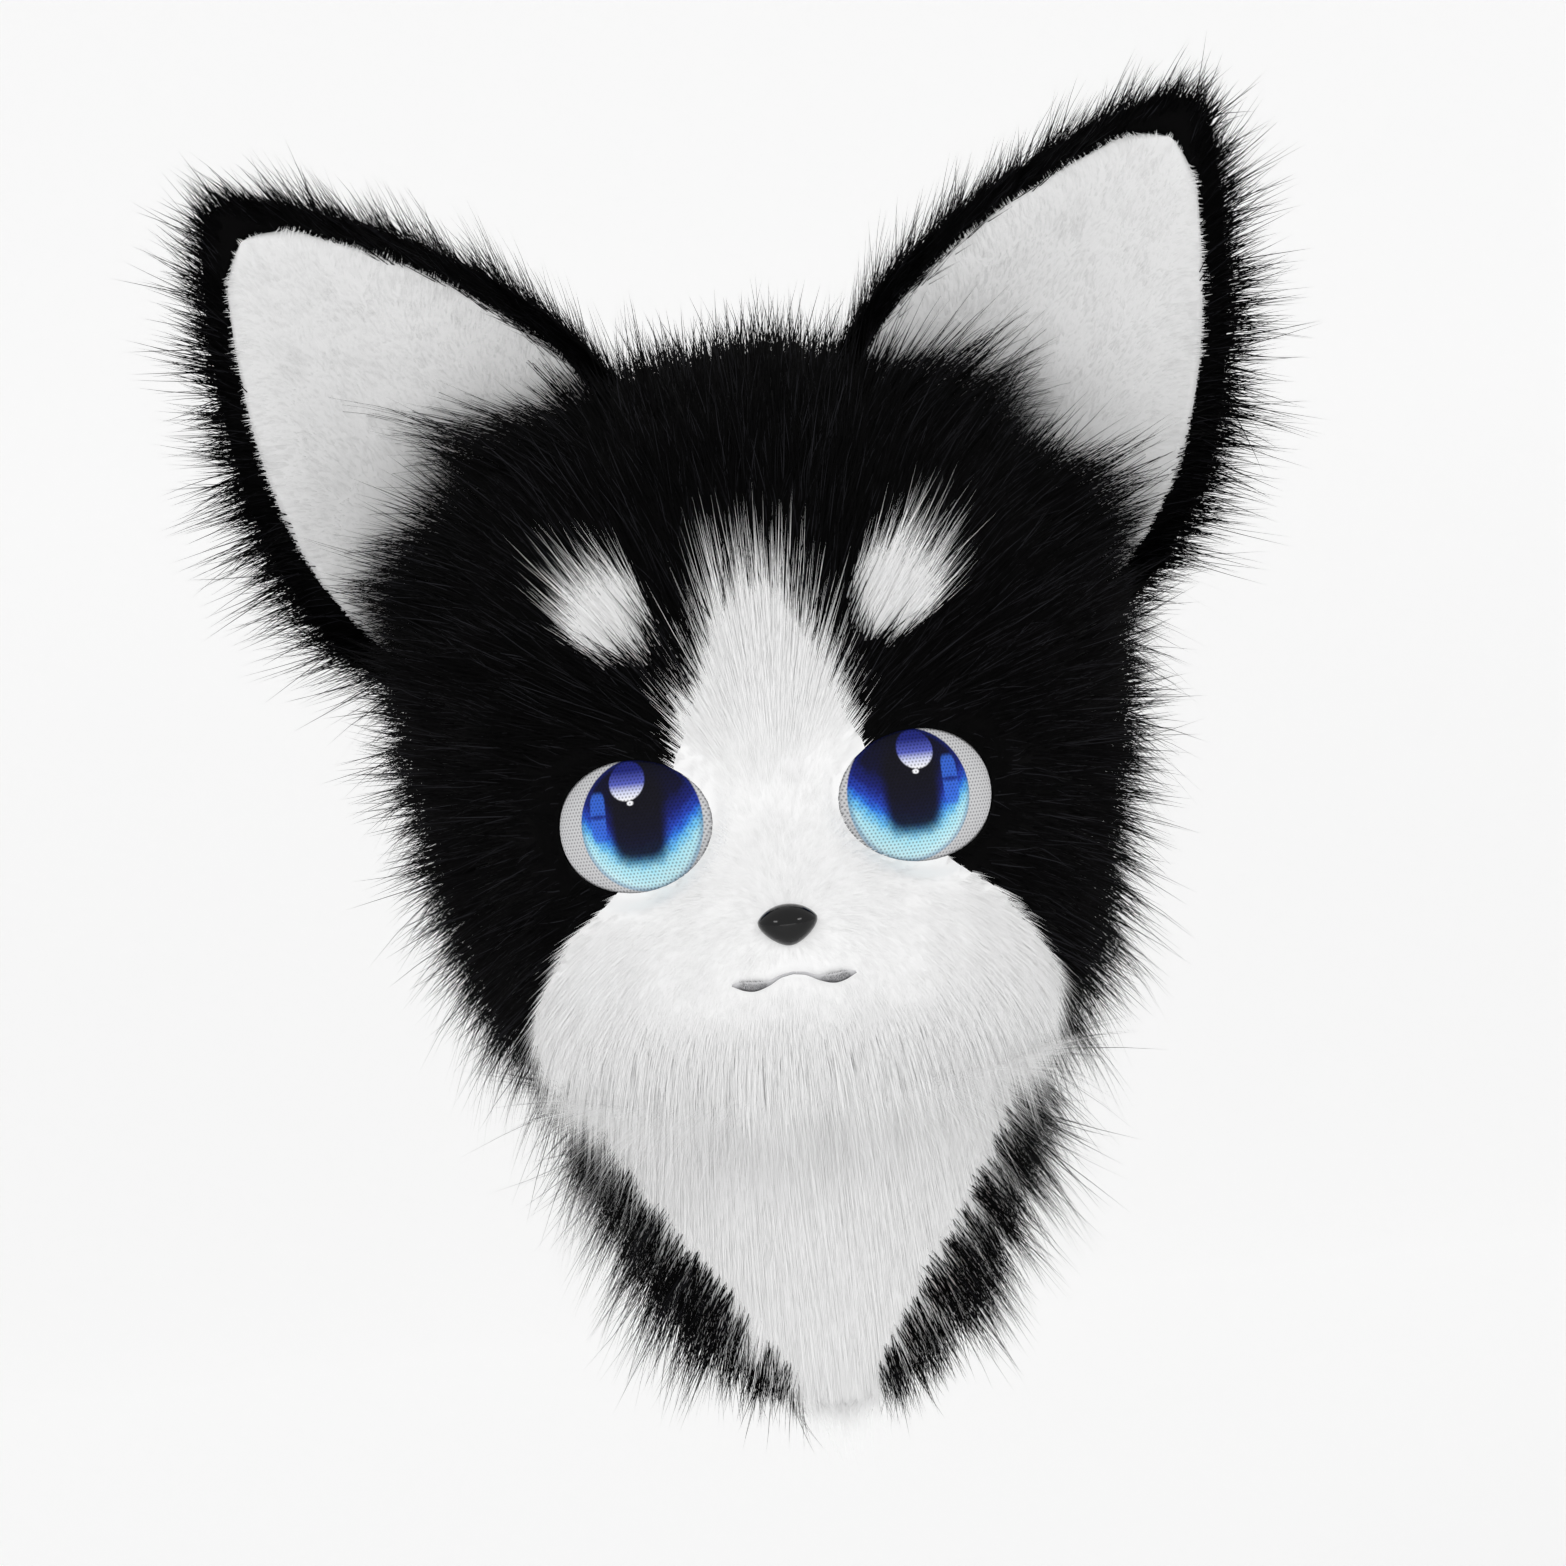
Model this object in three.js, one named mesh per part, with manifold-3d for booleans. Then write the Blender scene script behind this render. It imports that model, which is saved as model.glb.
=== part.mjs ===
// A husky-style costume head, worn over the wearer's own head: a hollow padded form under panels of
// black and white faux fur, with cupped ears, printed mesh eyes, a moulded nose and a fur neck.
// Millimetres, +Z up. The face looks along -Y, and left and right are the wearer's, so left is +X.
// The origin is the crown seat: the highest point of the hollow, where the wearer's head touches it.
import * as THREE from "three";
import { mergeVertices } from "three/addons/utils/BufferGeometryUtils.js";
import Module from "manifold-3d";

const wasm = await Module();
wasm.setup();

// Clearances
const gap = 0.3; // between pieces that touch
const finest = 0.05; // edges shorter than this, which a cut leaves, are closed up
const reachPast = 300; // how far a cutting body runs past what it cuts

// Padded form
const headWidth = 260;
const foreheadDepth = 112; // from the centre line to the forehead
const napeDepth = 125; // from the centre line to the back of the head
const headHeight = 281; // from the neck rim to the crown
const sidePadding = 12;
const frontPadding = 20;
const crownPadding = 18;
const sectionPower = 2.2; // 2 is an ellipse, more is squarer
const noseHeight = 66; // above the neck rim

// Fur
const shortPile = 6; // on the muzzle and round the eyes
const longPile = 18; // on the sides, crown and back
const shortPileEnds = -98; // depth where the pile starts to lengthen
const longPileStarts = -30; // depth where it has its full length
const lockRise = 12; // how far a lock's point stands out of the pile
const lockRun = 22; // how far it lies along the hair

// Markings, seen from the front
const blazeTop = 146; // above the nose
const cheekReach = 118; // from the centre line to the edge of the white cheek
const faceDepth = 8; // the white panel ends this far behind the centre line
const browAcross = 57;
const browRise = 127;
const browWidth = 37;
const browHeight = 46;
const browLean = 14; // degrees, tops outwards

// Eyes
const eyeAcross = 55;
const eyeRise = 43;
const eyeWidth = 64;
const eyeHeight = 58;
const eyeDome = 10;
const eyeThickness = 1.6;
const eyeTurn = 24; // degrees, outwards
const eyeSeat = 6; // how far the rim is sunk below the form's surface
const eyeHoleShare = 0.72; // of the eye, seen through from inside

// Nose and mouth
const noseWidth = 22;
const noseTall = 16;
const noseOut = 9; // from its middle to its front
const noseShank = 5; // from its middle to its back
const noseTaper = 0.3; // how much narrower it is below than above
const mouthWidth = 43;
const mouthDrop = 17; // from the nose's middle to the middle of the mouth
const mouthSink = 2.5; // how deep the mouth line lies in the pile
const mouthProud = 0.8;

// Neck
const neckWidth = 154; // inside
const neckFront = 76; // from the centre line, inside
const neckBack = 82;
const neckThickness = 13; // cloth and pile at the top
const neckHem = 6; // cloth and pile at the hem
const neckFlare = 9; // how far the front and the nape stand out at the hem
const bibDrop = 121; // from the neck rim to the hem in front
const fringeLength = 18; // locks below the hem
const neckLockRise = 7;

// Ears
const earLength = 180; // from the root to the tip
const earWidth = 156;
const earCup = 34; // how deep the ear is hollowed
const earThickness = 13;
const earHem = 7; // thickness at its edge
const earLean = 34; // degrees outwards from upright
const earTurn = 8; // degrees, opening turned outwards
const earRootShare = 0.835; // height of the root on the form
const earBorder = 8; // black border round the lining
const earLiningThickness = 4;
const earLockReach = 21; // how far the locks stand out of the ear's edge
const earLockRun = 15; // how far they lean to its tip
const earBackRise = 7; // how far the locks stand out of its back

// Padded form, from below the neck rim up. Height is a share of headHeight above the rim, width of
// half headWidth, front of foreheadDepth and back of napeDepth. The last row mirrors the row before
// the crown, so that the crown is round.
const headRows = [
  { height: -0.09, width: 0.57, front: 0.66, back: 0.66 },
  { height: 0.0, width: 0.67, front: 0.82, back: 0.75 },
  { height: 0.093, width: 0.735, front: 0.93, back: 0.84 },
  { height: 0.203, width: 0.85, front: 0.99, back: 0.92 },
  { height: 0.327, width: 0.92, front: 1.01, back: 0.98 },
  { height: 0.5, width: 0.98, front: 1.0, back: 1.0 },
  { height: 0.644, width: 1.0, front: 0.945, back: 0.97 },
  { height: 0.769, width: 0.9, front: 0.81, back: 0.87 },
  { height: 0.875, width: 0.71, front: 0.62, back: 0.68 },
  { height: 0.957, width: 0.43, front: 0.36, back: 0.41 },
  { height: 1.0, width: 0.0, front: 0.0, back: 0.0 },
  { height: 0.957, width: -0.43, front: -0.36, back: -0.41 },
];
const crownRow = headRows.length - 2;

// Soft swellings of the face, pushed forwards. Across is a share of half headWidth, above of
// noseHeight over the nose, out of foreheadDepth, wide of half headWidth and tall of noseHeight.
const swellings = [
  { across: 0, above: -0.12, out: 0.36, wide: 0.36, tall: 0.58 }, // muzzle
  { across: 0.3, above: -0.4, out: 0.1, wide: 0.3, tall: 0.45 }, // cheek pads beside the mouth
  { across: -0.3, above: -0.4, out: 0.1, wide: 0.3, tall: 0.45 },
  { across: 0, above: -0.9, out: 0.1, wide: 0.4, tall: 0.4 }, // chin
];

// Edge of the white face, from the top of the blaze down. Across is a share of cheekReach, rise of
// blazeTop above the nose.
const faceEdge = [
  { across: 0.1, rise: 1.0 },
  { across: 0.2, rise: 0.89 },
  { across: 0.28, rise: 0.75 },
  { across: 0.35, rise: 0.57 },
  { across: 0.38, rise: 0.46 },
  { across: 0.5, rise: 0.25 },
  { across: 0.61, rise: 0.12 },
  { across: 0.76, rise: 0.02 },
  { across: 0.87, rise: -0.12 },
  { across: 0.95, rise: -0.25 },
  { across: 1.0, rise: -0.4 },
  { across: 1.03, rise: -0.8 },
];

// Edge of the white bib, from the neck rim down. Across is a share of half neckWidth, drop of bibDrop.
const bibEdge = [
  { across: 1.22, drop: -0.2 },
  { across: 1.12, drop: 0.0 },
  { across: 0.9, drop: 0.29 },
  { across: 0.62, drop: 0.56 },
  { across: 0.33, drop: 0.88 },
  { across: 0.2, drop: 1.5 },
];

// Hem of the neck, from the front (0 degrees) to the nape (180). Drop is a share of bibDrop.
const hemRows = [
  { turn: 0, drop: 1.0 },
  { turn: 22, drop: 0.93 },
  { turn: 43, drop: 0.69 },
  { turn: 70, drop: 0.29 },
  { turn: 92, drop: 0.13 },
  { turn: 120, drop: 0.22 },
  { turn: 150, drop: 0.44 },
  { turn: 180, drop: 0.52 },
];

// Ear, from below its root to its tip. Along is a share of earLength, width of earWidth, cup of earCup.
const earRows = [
  { along: -0.3, width: 0.86, cup: 1.0 },
  { along: 0.0, width: 1.0, cup: 1.0 },
  { along: 0.22, width: 1.0, cup: 0.96 },
  { along: 0.36, width: 0.93, cup: 0.8 },
  { along: 0.52, width: 0.79, cup: 0.6 },
  { along: 0.68, width: 0.6, cup: 0.4 },
  { along: 0.82, width: 0.4, cup: 0.22 },
  { along: 0.93, width: 0.22, cup: 0.1 },
  { along: 0.985, width: 0.1, cup: 0.02 },
];

// Mouth line, from its middle to its corner. Across is a share of half mouthWidth, drop and line
// of mouthDrop: how far the line's lower edge is below its middle, and how tall the line is.
const mouthRows = [
  { across: 0.0, drop: 0.0, line: 0.09 },
  { across: 0.2, drop: 0.05, line: 0.1 },
  { across: 0.4, drop: 0.23, line: 0.16 },
  { across: 0.62, drop: 0.36, line: 0.27 },
  { across: 0.8, drop: 0.34, line: 0.25 },
  { across: 1.0, drop: 0.2, line: 0.08 },
];

// Heights of the main levels over the origin
const crownLevel = crownPadding;
const rimLevel = crownLevel - headHeight;
const noseLevel = rimLevel + noseHeight;

const colours = { black: 0x0b0b0c, white: 0xe6e6e6, plush: 0xdcdcdc, mesh: 0x2c4fc0, gloss: 0x050505, mouth: 0x55555a };

const radians = THREE.MathUtils.degToRad;
const point = (x, y, z) => new THREE.Vector3(x, y, z);
const signedPower = (value, power) => Math.sign(value) * Math.abs(value) ** power;

// Smooth values between the rows of a table, by row number
function track(rows, columns) {
  const numbers = rows.map((row, i) => i);
  const values = rows.flatMap((row) => columns.map((column) => row[column]));
  const curve = new THREE.CubicInterpolant(numbers, values, columns.length);
  return (row) => Array.from(curve.evaluate(row));
}

// The row number at which a rising column has a value
function rowAt(read, last, value) {
  let low = 0;
  let high = last;
  for (let i = 0; i < 40; i += 1) {
    const middle = (low + high) / 2;
    if (read(middle) < value) low = middle;
    else high = middle;
  }
  return (low + high) / 2;
}

// A four-sided patch, split so that its even corners are not joined: drawn out, each is a point
const twoTriangles = ([a, b, c, d], even) => (even ? [a, b, d, b, c, d] : [a, b, c, a, c, d]);

// A closed surface through rings of equal length, closed by a tip at each end
function loft(rings, firstTip, lastTip) {
  const count = rings[0].length;
  const centre = (ring) => ring.reduce((sum, p) => sum.add(p), point(0, 0, 0)).divideScalar(count);
  const points = [...rings.flat(), firstTip ?? centre(rings[0]), lastTip ?? centre(rings.at(-1))];
  const first = points.length - 2;
  const index = [];
  for (let j = 0; j < count; j += 1) {
    const next = (j + 1) % count;
    for (let i = 0; i + 1 < rings.length; i += 1) {
      const here = i * count;
      const there = here + count;
      const corners = [here + j, here + next, there + next, there + j];
      index.push(...twoTriangles(corners, (i + j) % 2 === 0));
    }
    const top = (rings.length - 1) * count;
    index.push(first, next, j, first + 1, top + j, top + next);
  }
  return outwards(points, index);
}

// A closed surface through sections that go round and meet again, such as a collar's
function ring(sections) {
  const count = sections[0].length;
  const index = [];
  sections.forEach((section, i) => {
    const here = i * count;
    const there = ((i + 1) % sections.length) * count;
    for (let j = 0; j < count; j += 1) {
      const next = (j + 1) % count;
      const corners = [here + j, here + next, there + next, there + j];
      index.push(...twoTriangles(corners, (i + j) % 2 === 0));
    }
  });
  return outwards(sections.flat(), index);
}

// A geometry of points and triangles whose faces point out
function outwards(points, index) {
  let volume = 0;
  for (let i = 0; i < index.length; i += 3) {
    const [a, b, c] = [points[index[i]], points[index[i + 1]], points[index[i + 2]]];
    volume += a.dot(b.clone().cross(c));
  }
  const facing = volume < 0 ? index.toReversed() : index;
  return new THREE.BufferGeometry().setFromPoints(points).setIndex(facing);
}

function solid(geometry) {
  const bare = geometry.clone();
  bare.deleteAttribute("normal");
  bare.deleteAttribute("uv");
  const merged = mergeVertices(bare, 1e-4);
  const vertProperties = merged.attributes.position.array;
  const triVerts = new Uint32Array(merged.index.array);
  return new wasm.Manifold(new wasm.Mesh({ numProp: 3, vertProperties, triVerts }));
}

function geometryOf(body) {
  const { vertProperties, triVerts } = body.asOriginal().simplify(finest).getMesh();
  const geometry = new THREE.BufferGeometry();
  geometry.setAttribute("position", new THREE.BufferAttribute(new Float32Array(vertProperties), 3));
  geometry.setIndex(new THREE.BufferAttribute(new Uint32Array(triVerts), 1));
  geometry.computeVertexNormals();
  return geometry;
}

// The largest piece of a cut body, without crumbs that a cut may leave
function mainPiece(body) {
  return body.decompose().sort((a, b) => b.volume() - a.volume())[0];
}

const join = (bodies) => bodies.reduce((sum, body) => sum.add(body));

// A body that runs along Y through an outline of [x, z] points
function prism(outline, nearest, farthest) {
  const shape = new THREE.Shape(outline.map(([x, z]) => new THREE.Vector2(x, z)));
  const geometry = new THREE.ExtrudeGeometry(shape, { depth: farthest - nearest, bevelEnabled: false });
  return solid(geometry.rotateX(Math.PI / 2).translate(0, farthest, 0));
}

function box(low, high) {
  const size = high.clone().sub(low);
  const middle = low.clone().add(high).divideScalar(2);
  return solid(new THREE.BoxGeometry(size.x, size.y, size.z).translate(middle.x, middle.y, middle.z));
}

// Outer surface of the padded form
const headTrack = track(headRows, ["height", "width", "front", "back"]);
const headRowAt = (z) => rowAt((row) => headTrack(row)[0], crownRow, (z - rimLevel) / headHeight);

function sectionPoint(row, turn, inset) {
  const [height, width, front, back] = headTrack(row);
  const across = Math.max((width * headWidth) / 2 - inset.side, 0);
  const forwards = Math.max(front * foreheadDepth - inset.front, 0);
  const backwards = Math.max(back * napeDepth - inset.side, 0);
  const away = signedPower(Math.cos(turn), 2 / sectionPower);
  return point(
    across * signedPower(Math.sin(turn), 2 / sectionPower),
    -away * (away > 0 ? forwards : backwards),
    rimLevel + height * (headHeight - inset.crown),
  );
}

function swell(place) {
  const frontness = THREE.MathUtils.smoothstep(-place.y, 0, foreheadDepth / 2);
  return swellings.reduce((sum, { across, above, out, wide, tall }) => {
    const sideways = (place.x - (across * headWidth) / 2) / ((wide * headWidth) / 2);
    const upwards = (place.z - noseLevel - above * noseHeight) / (tall * noseHeight);
    return sum + out * foreheadDepth * frontness * Math.exp(-(sideways ** 2) - upwards ** 2);
  }, 0);
}

const noInset = { side: 0, front: 0, crown: 0 };

function formPoint(row, turn) {
  const place = sectionPoint(row, turn, noInset);
  place.y -= swell(place);
  return place;
}

function formNormal(row, turn) {
  const step = 0.02;
  const upwards = formPoint(row + step, turn).sub(formPoint(row - step, turn));
  const round = formPoint(row, turn + step).sub(formPoint(row, turn - step));
  return round.cross(upwards).normalize();
}

// How thick the pile lies at a place
function pileAt(place) {
  const longer = THREE.MathUtils.smoothstep(place.y, shortPileEnds, longPileStarts);
  return THREE.MathUtils.lerp(shortPile, longPile, longer);
}

// The place on the front of the form at a given x and z, with its row and turn
function frontPlace(x, z) {
  const row = headRowAt(z);
  const widest = (headTrack(row)[1] * headWidth) / 2;
  const turn = Math.asin(signedPower(THREE.MathUtils.clamp(x / widest, -1, 1), sectionPower / 2));
  return { row, turn, place: formPoint(row, turn), normal: formNormal(row, turn) };
}

const ringRows = [0, 0.6, 1.2, 1.9, 2.6, 3.4, 4.2, 5, 5.8, 6.6, 7.3, 8, 8.6, 9.2];
const turnCount = 30;
const turnsOf = (count) => Array.from({ length: count }, (unused, i) => (i / count) * 2 * Math.PI);

// A closed body inside the form's surface moved out, from below the rim to the crown
function envelope(extra) {
  const rings = ringRows.map((row) =>
    turnsOf(turnCount).map((turn) => formPoint(row, turn).addScaledVector(formNormal(row, turn), extra)),
  );
  return solid(loft(rings, undefined, point(0, 0, crownLevel + extra)));
}

// An even share from 0 to 1 for each lock, so that no two neighbours are alike
const uneven = (i, j) => (Math.sin(i * 12.9 + j * 78.2) + 1) / 2;

// Which way the hair lies: back from the face, then down the back of the head
function hairFlow(place) {
  const fromFace = point(place.x, foreheadDepth / 2, place.z - noseLevel - eyeRise / 2);
  const down = point(place.x / 4, napeDepth / 4, -napeDepth);
  const behind = THREE.MathUtils.smoothstep(place.y, -foreheadDepth / 3, napeDepth / 2);
  return fromFace.normalize().lerp(down.normalize(), behind).normalize();
}

// The same body out to the top of the pile, with every second point drawn out into a pointed lock
function furEnvelope() {
  const rings = ringRows.map((row, i) =>
    turnsOf(turnCount).map((turn, j) => {
      const place = formPoint(row, turn);
      const normal = formNormal(row, turn);
      const pile = pileAt(place);
      const shag = (pile - shortPile) / (longPile - shortPile);
      const drawn = (i + j) % 2 ? 0 : shag * (0.7 + 0.3 * uneven(i, j));
      const flow = hairFlow(place);
      const along = flow.addScaledVector(normal, -flow.dot(normal)).normalize();
      return place.addScaledVector(normal, pile + lockRise * drawn).addScaledVector(along, lockRun * drawn);
    }),
  );
  return solid(loft(rings, undefined, point(0, 0, crownLevel + longPile)));
}

const belowRim = (level) =>
  box(point(-reachPast, -reachPast, level - reachPast), point(reachPast, reachPast, level));

// The hollow that takes the wearer's head, open below
function hollow() {
  const inset = { side: sidePadding, front: frontPadding, crown: crownPadding };
  const rows = [0, 1.2, 2.6, 4, 5.2, 6.6, 8, 8.6, 9.2];
  const rings = rows.map((row) => turnsOf(24).map((turn) => sectionPoint(row, turn, inset)));
  return solid(loft(rings, undefined, point(0, 0, 0)));
}

// Eyes: a frame at the middle of each rim, looking out of the face
function eyeFrame(side) {
  const { place } = frontPlace(side * eyeAcross, noseLevel + eyeRise);
  const looks = point(side * Math.sin(radians(eyeTurn)), -Math.cos(radians(eyeTurn)), 0);
  const seat = place.addScaledVector(looks, -eyeSeat);
  return new THREE.Matrix4().makeRotationZ(side * radians(eyeTurn)).setPosition(seat);
}

// An elliptical body along an eye's own axis, from one depth behind its rim to one in front
function eyeBody(side, share, extra, behind, inFront) {
  const round = new THREE.CylinderGeometry(1, 1, behind + inFront, 24);
  round.translate(0, (inFront - behind) / 2, 0).rotateX(Math.PI).scale(
    (eyeWidth / 2) * share + extra,
    1,
    (eyeHeight / 2) * share + extra,
  );
  return solid(round.applyMatrix4(eyeFrame(side)));
}

function eyeDish() {
  const steps = 4;
  const dome = (radius, height) =>
    Array.from({ length: steps + 1 }, (unused, i) => {
      const angle = (i / steps) * (Math.PI / 2);
      return new THREE.Vector2(radius * Math.sin(angle), height * Math.cos(angle));
    });
  const inner = 1 - eyeThickness / (eyeWidth / 2);
  const profile = [...dome(inner, eyeDome - eyeThickness), ...dome(1, eyeDome).reverse()];
  const lathe = new THREE.LatheGeometry(profile, 24).scale(eyeWidth / 2, -1, eyeHeight / 2);
  return geometryOf(solid(facingOut(lathe)));
}

// A lathe or scaled shape with its faces turned out
function facingOut(geometry) {
  const places = geometry.attributes.position;
  const points = Array.from({ length: places.count }, (unused, i) => point().fromBufferAttribute(places, i));
  return outwards(points, Array.from(geometry.index.array));
}

// Nose: a rounded triangle, domed in front, with its shank let into the muzzle
function noseBody(extra) {
  const ball = new THREE.SphereGeometry(1, 18, 11);
  const places = ball.attributes.position;
  for (let i = 0; i < places.count; i += 1) {
    const place = point().fromBufferAttribute(places, i);
    const narrowing = 1 + noseTaper * Math.min(place.z, 0.35) * (1 - place.z * 0.2);
    places.setXYZ(
      i,
      place.x * narrowing * (noseWidth / 2 + extra),
      place.y * ((place.y < 0 ? noseOut : noseShank) + extra),
      signedPower(place.z, place.z > 0 ? 1.15 : 1) * (noseTall / 2 + extra),
    );
  }
  const { place } = frontPlace(0, noseLevel);
  return solid(ball.translate(0, place.y - shortPile / 2, noseLevel));
}

// Mouth: a soft line that lies in the muzzle's pile
const mouthTrack = track(mouthRows, ["across", "drop", "line"]);

function mouthBody(extra) {
  const last = mouthRows.length - 1;
  const steps = 10;
  const rings = [];
  for (let i = -steps; i <= steps; i += 1) {
    const [across, drop, line] = mouthTrack((Math.abs(i) / steps) * last);
    const x = Math.sign(i) * across * (mouthWidth / 2 + extra);
    const bottom = noseLevel - mouthDrop - drop * mouthDrop - extra;
    const top = bottom + line * mouthDrop + 2 * extra;
    const level = (z, out) => {
      const { place, normal } = frontPlace(x, z);
      return place.addScaledVector(normal, out);
    };
    const floor = shortPile - mouthSink - extra;
    const face = shortPile + mouthProud + extra;
    rings.push([level(bottom, floor), level(top, floor), level(top, face), level(bottom, face)]);
  }
  return solid(loft(rings));
}

// Markings
const bothSides = (half) => [...half, ...half.map(([x, z]) => [-x, z]).reverse()];

function faceOutline(extra) {
  const half = faceEdge.map(({ across, rise }) => [
    across * cheekReach + extra,
    noseLevel + rise * blazeTop + (rise > 0 ? extra : 0),
  ]);
  return bothSides(half);
}

function bibOutline(extra) {
  const half = bibEdge.map(({ across, drop }) => [(across * neckWidth) / 2 + extra, rimLevel - drop * bibDrop]);
  return bothSides(half);
}

function browOutline(side, extra) {
  const lean = radians(browLean);
  return Array.from({ length: 20 }, (unused, i) => {
    const angle = (i / 20) * 2 * Math.PI;
    const sideways = (browWidth / 2 + extra) * Math.cos(angle);
    const upwards = (browHeight / 2 + extra) * Math.sin(angle);
    return [
      side * (browAcross + sideways * Math.cos(lean) + upwards * Math.sin(lean)),
      noseLevel + browRise + upwards * Math.cos(lean) - sideways * Math.sin(lean),
    ];
  });
}

// Neck: a collar of fur whose hem drops to a point in front
const hemTrack = track(hemRows, ["turn", "drop"]);

function hemDrop(turn) {
  const degrees = Math.abs(THREE.MathUtils.radToDeg(turn));
  const row = rowAt((number) => hemTrack(number)[0], hemRows.length - 1, degrees);
  return hemTrack(row)[1] * bibDrop;
}

function neckPoint(turn, drop, out) {
  const share = drop / bibDrop;
  const sideways = neckWidth / 2 + out;
  const depth = (Math.cos(turn) > 0 ? neckFront : neckBack) + neckFlare * share + out;
  return point(sideways * Math.sin(turn), -depth * Math.cos(turn), rimLevel - gap - drop);
}

function neckCollar() {
  const shares = [0, 0.33, 0.66, 1];
  const sections = turnsOf(44).map((turn, i) => {
    const hem = hemDrop(turn > Math.PI ? turn - 2 * Math.PI : turn);
    const inside = shares.map((share) => neckPoint(turn, share * hem, 0));
    const outside = shares.map((share, j) => {
      const drawn = share > 0 && (i + j) % 2 === 0 ? 0.75 + 0.25 * uneven(i, j) : 0;
      const out = THREE.MathUtils.lerp(neckThickness, neckHem, share) + neckLockRise * drawn * (1 - share);
      return neckPoint(turn, share * hem + fringeLength * drawn, out);
    });
    return [...inside, ...outside.reverse()];
  });
  return solid(ring(sections));
}

// Ears, in a frame at the root: +Z to the tip, +X across, opening to -Y
const earTrack = track(earRows, ["along", "width", "cup"]);
const earLast = earRows.length - 1;

function earPoint(row, share, back) {
  const [along, width, cup] = earTrack(row);
  const hollowed = cup * earCup * (1 - share ** 2);
  const thickness = THREE.MathUtils.lerp(earThickness, earHem, share ** 2) * Math.min(1, width * 3);
  return point((share * width * earWidth) / 2, hollowed + back * thickness, along * earLength);
}

const earShares = [-1, -0.72, -0.26, 0.26, 0.72, 1];
const earRings = 17;
const firstEarLock = 4; // the first ring that stands clear of the head

// The ear's padded body with its locks, or with an allowance round it and one before it, its space
function earShell(allowance, before) {
  const rings = Array.from({ length: earRings }, (unused, i) => {
    const row = (i / (earRings - 1)) * earLast;
    const grow = 1 + allowance / (earWidth / 2);
    const drawn = i >= firstEarLock && i % 2 ? 0.75 + 0.25 * uneven(i, 1) : 0;
    const edge = (share, back) => {
      const place = earPoint(row, share, drawn ? 0.5 : back);
      return place.add(point(share * earLockReach * drawn, 0, earLockRun * drawn));
    };
    const front = earShares.map((share) => {
      const place = Math.abs(share) === 1 ? edge(share, 0) : earPoint(row, share, 0);
      return place.add(point(0, -before, 0));
    });
    const back = earShares.map((share, j) => {
      if (Math.abs(share) === 1) return edge(share, 1).add(point(0, allowance + (drawn ? 1 : 0), 0));
      const stands = i >= firstEarLock && (i + j) % 2 ? 1 : 0;
      return earPoint(row, share, 1).add(point(0, allowance + earBackRise * stands, earLockRun * stands));
    });
    return [...front, ...back.reverse()].map((place) => place.multiply(point(grow, 1, 1)));
  });
  const [, , tipCup] = earTrack(earLast);
  const tip = point(0, tipCup * earCup + earHem / 8, earLength + earLockRun + allowance);
  return solid(loft(rings, undefined, tip));
}

// The plush lining, or with an allowance round it, the space that it takes
function earLining(allowance) {
  const rings = Array.from({ length: 10 }, (unused, i) => {
    const row = (i / 10) * earLast;
    const width = (earTrack(row)[1] * earWidth) / 2;
    const inset = Math.max(1 - (earBorder - allowance) / width, 0.1);
    const at = (share, out) => earPoint(row, share * inset, 0).add(point(0, -out, 0));
    const pileAcross = (share) => earLiningThickness * (1 - 0.7 * share ** 4);
    const back = earShares.map((share) => at(share, gap - allowance));
    const front = earShares.map((share) => at(share, gap + pileAcross(share) + allowance));
    return [...back, ...front.reverse()];
  });
  return solid(loft(rings));
}

function earFrame(side) {
  const root = formPoint(headRowAt(rimLevel + earRootShare * headHeight), (side * Math.PI) / 2);
  const frame = new THREE.Matrix4().makeRotationY(side * radians(earLean));
  frame.multiply(new THREE.Matrix4().makeRotationZ(side * radians(earTurn)));
  return frame.setPosition(root);
}

const placed = (body, frame) => solid(geometryOf(body).applyMatrix4(frame));

// Build the bodies
const underFur = envelope(gap);
const openings = belowRim(rimLevel);
const noseSpace = noseBody(gap);

function formBody() {
  let body = envelope(0).subtract(hollow()).subtract(openings).subtract(noseSpace);
  for (const side of [-1, 1]) {
    body = body.subtract(eyeBody(side, 1, gap, gap, reachPast));
    body = body.subtract(eyeBody(side, eyeHoleShare, 0, foreheadDepth / 2, 1));
  }
  return mainPiece(body);
}

const pile = furEnvelope().subtract(underFur).subtract(openings);
const ear = earShell(0, 0);
const earSpace = earShell(gap, earLiningThickness + 2 * gap);

function withoutEyes(body) {
  return [-1, 1].reduce((left, side) => left.subtract(eyeBody(side, 1, gap, reachPast / 8, reachPast)), body);
}

function faceBody() {
  const panel = pile.intersect(prism(faceOutline(0), -reachPast, faceDepth));
  return mainPiece(withoutEyes(panel).subtract(noseSpace).subtract(mouthBody(gap)));
}

function hoodBody() {
  let body = withoutEyes(pile).subtract(prism(faceOutline(gap), -reachPast, faceDepth + gap));
  for (const side of [-1, 1]) {
    body = body.subtract(prism(browOutline(side, gap), -reachPast, 0));
    body = body.subtract(placed(earSpace.add(earLining(gap)), earFrame(side)));
  }
  return mainPiece(body);
}

const browBody = (side) => mainPiece(pile.intersect(prism(browOutline(side, 0), -reachPast, 0)));

const onForm = (body, side) => mainPiece(placed(body, earFrame(side)).subtract(underFur));

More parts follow.
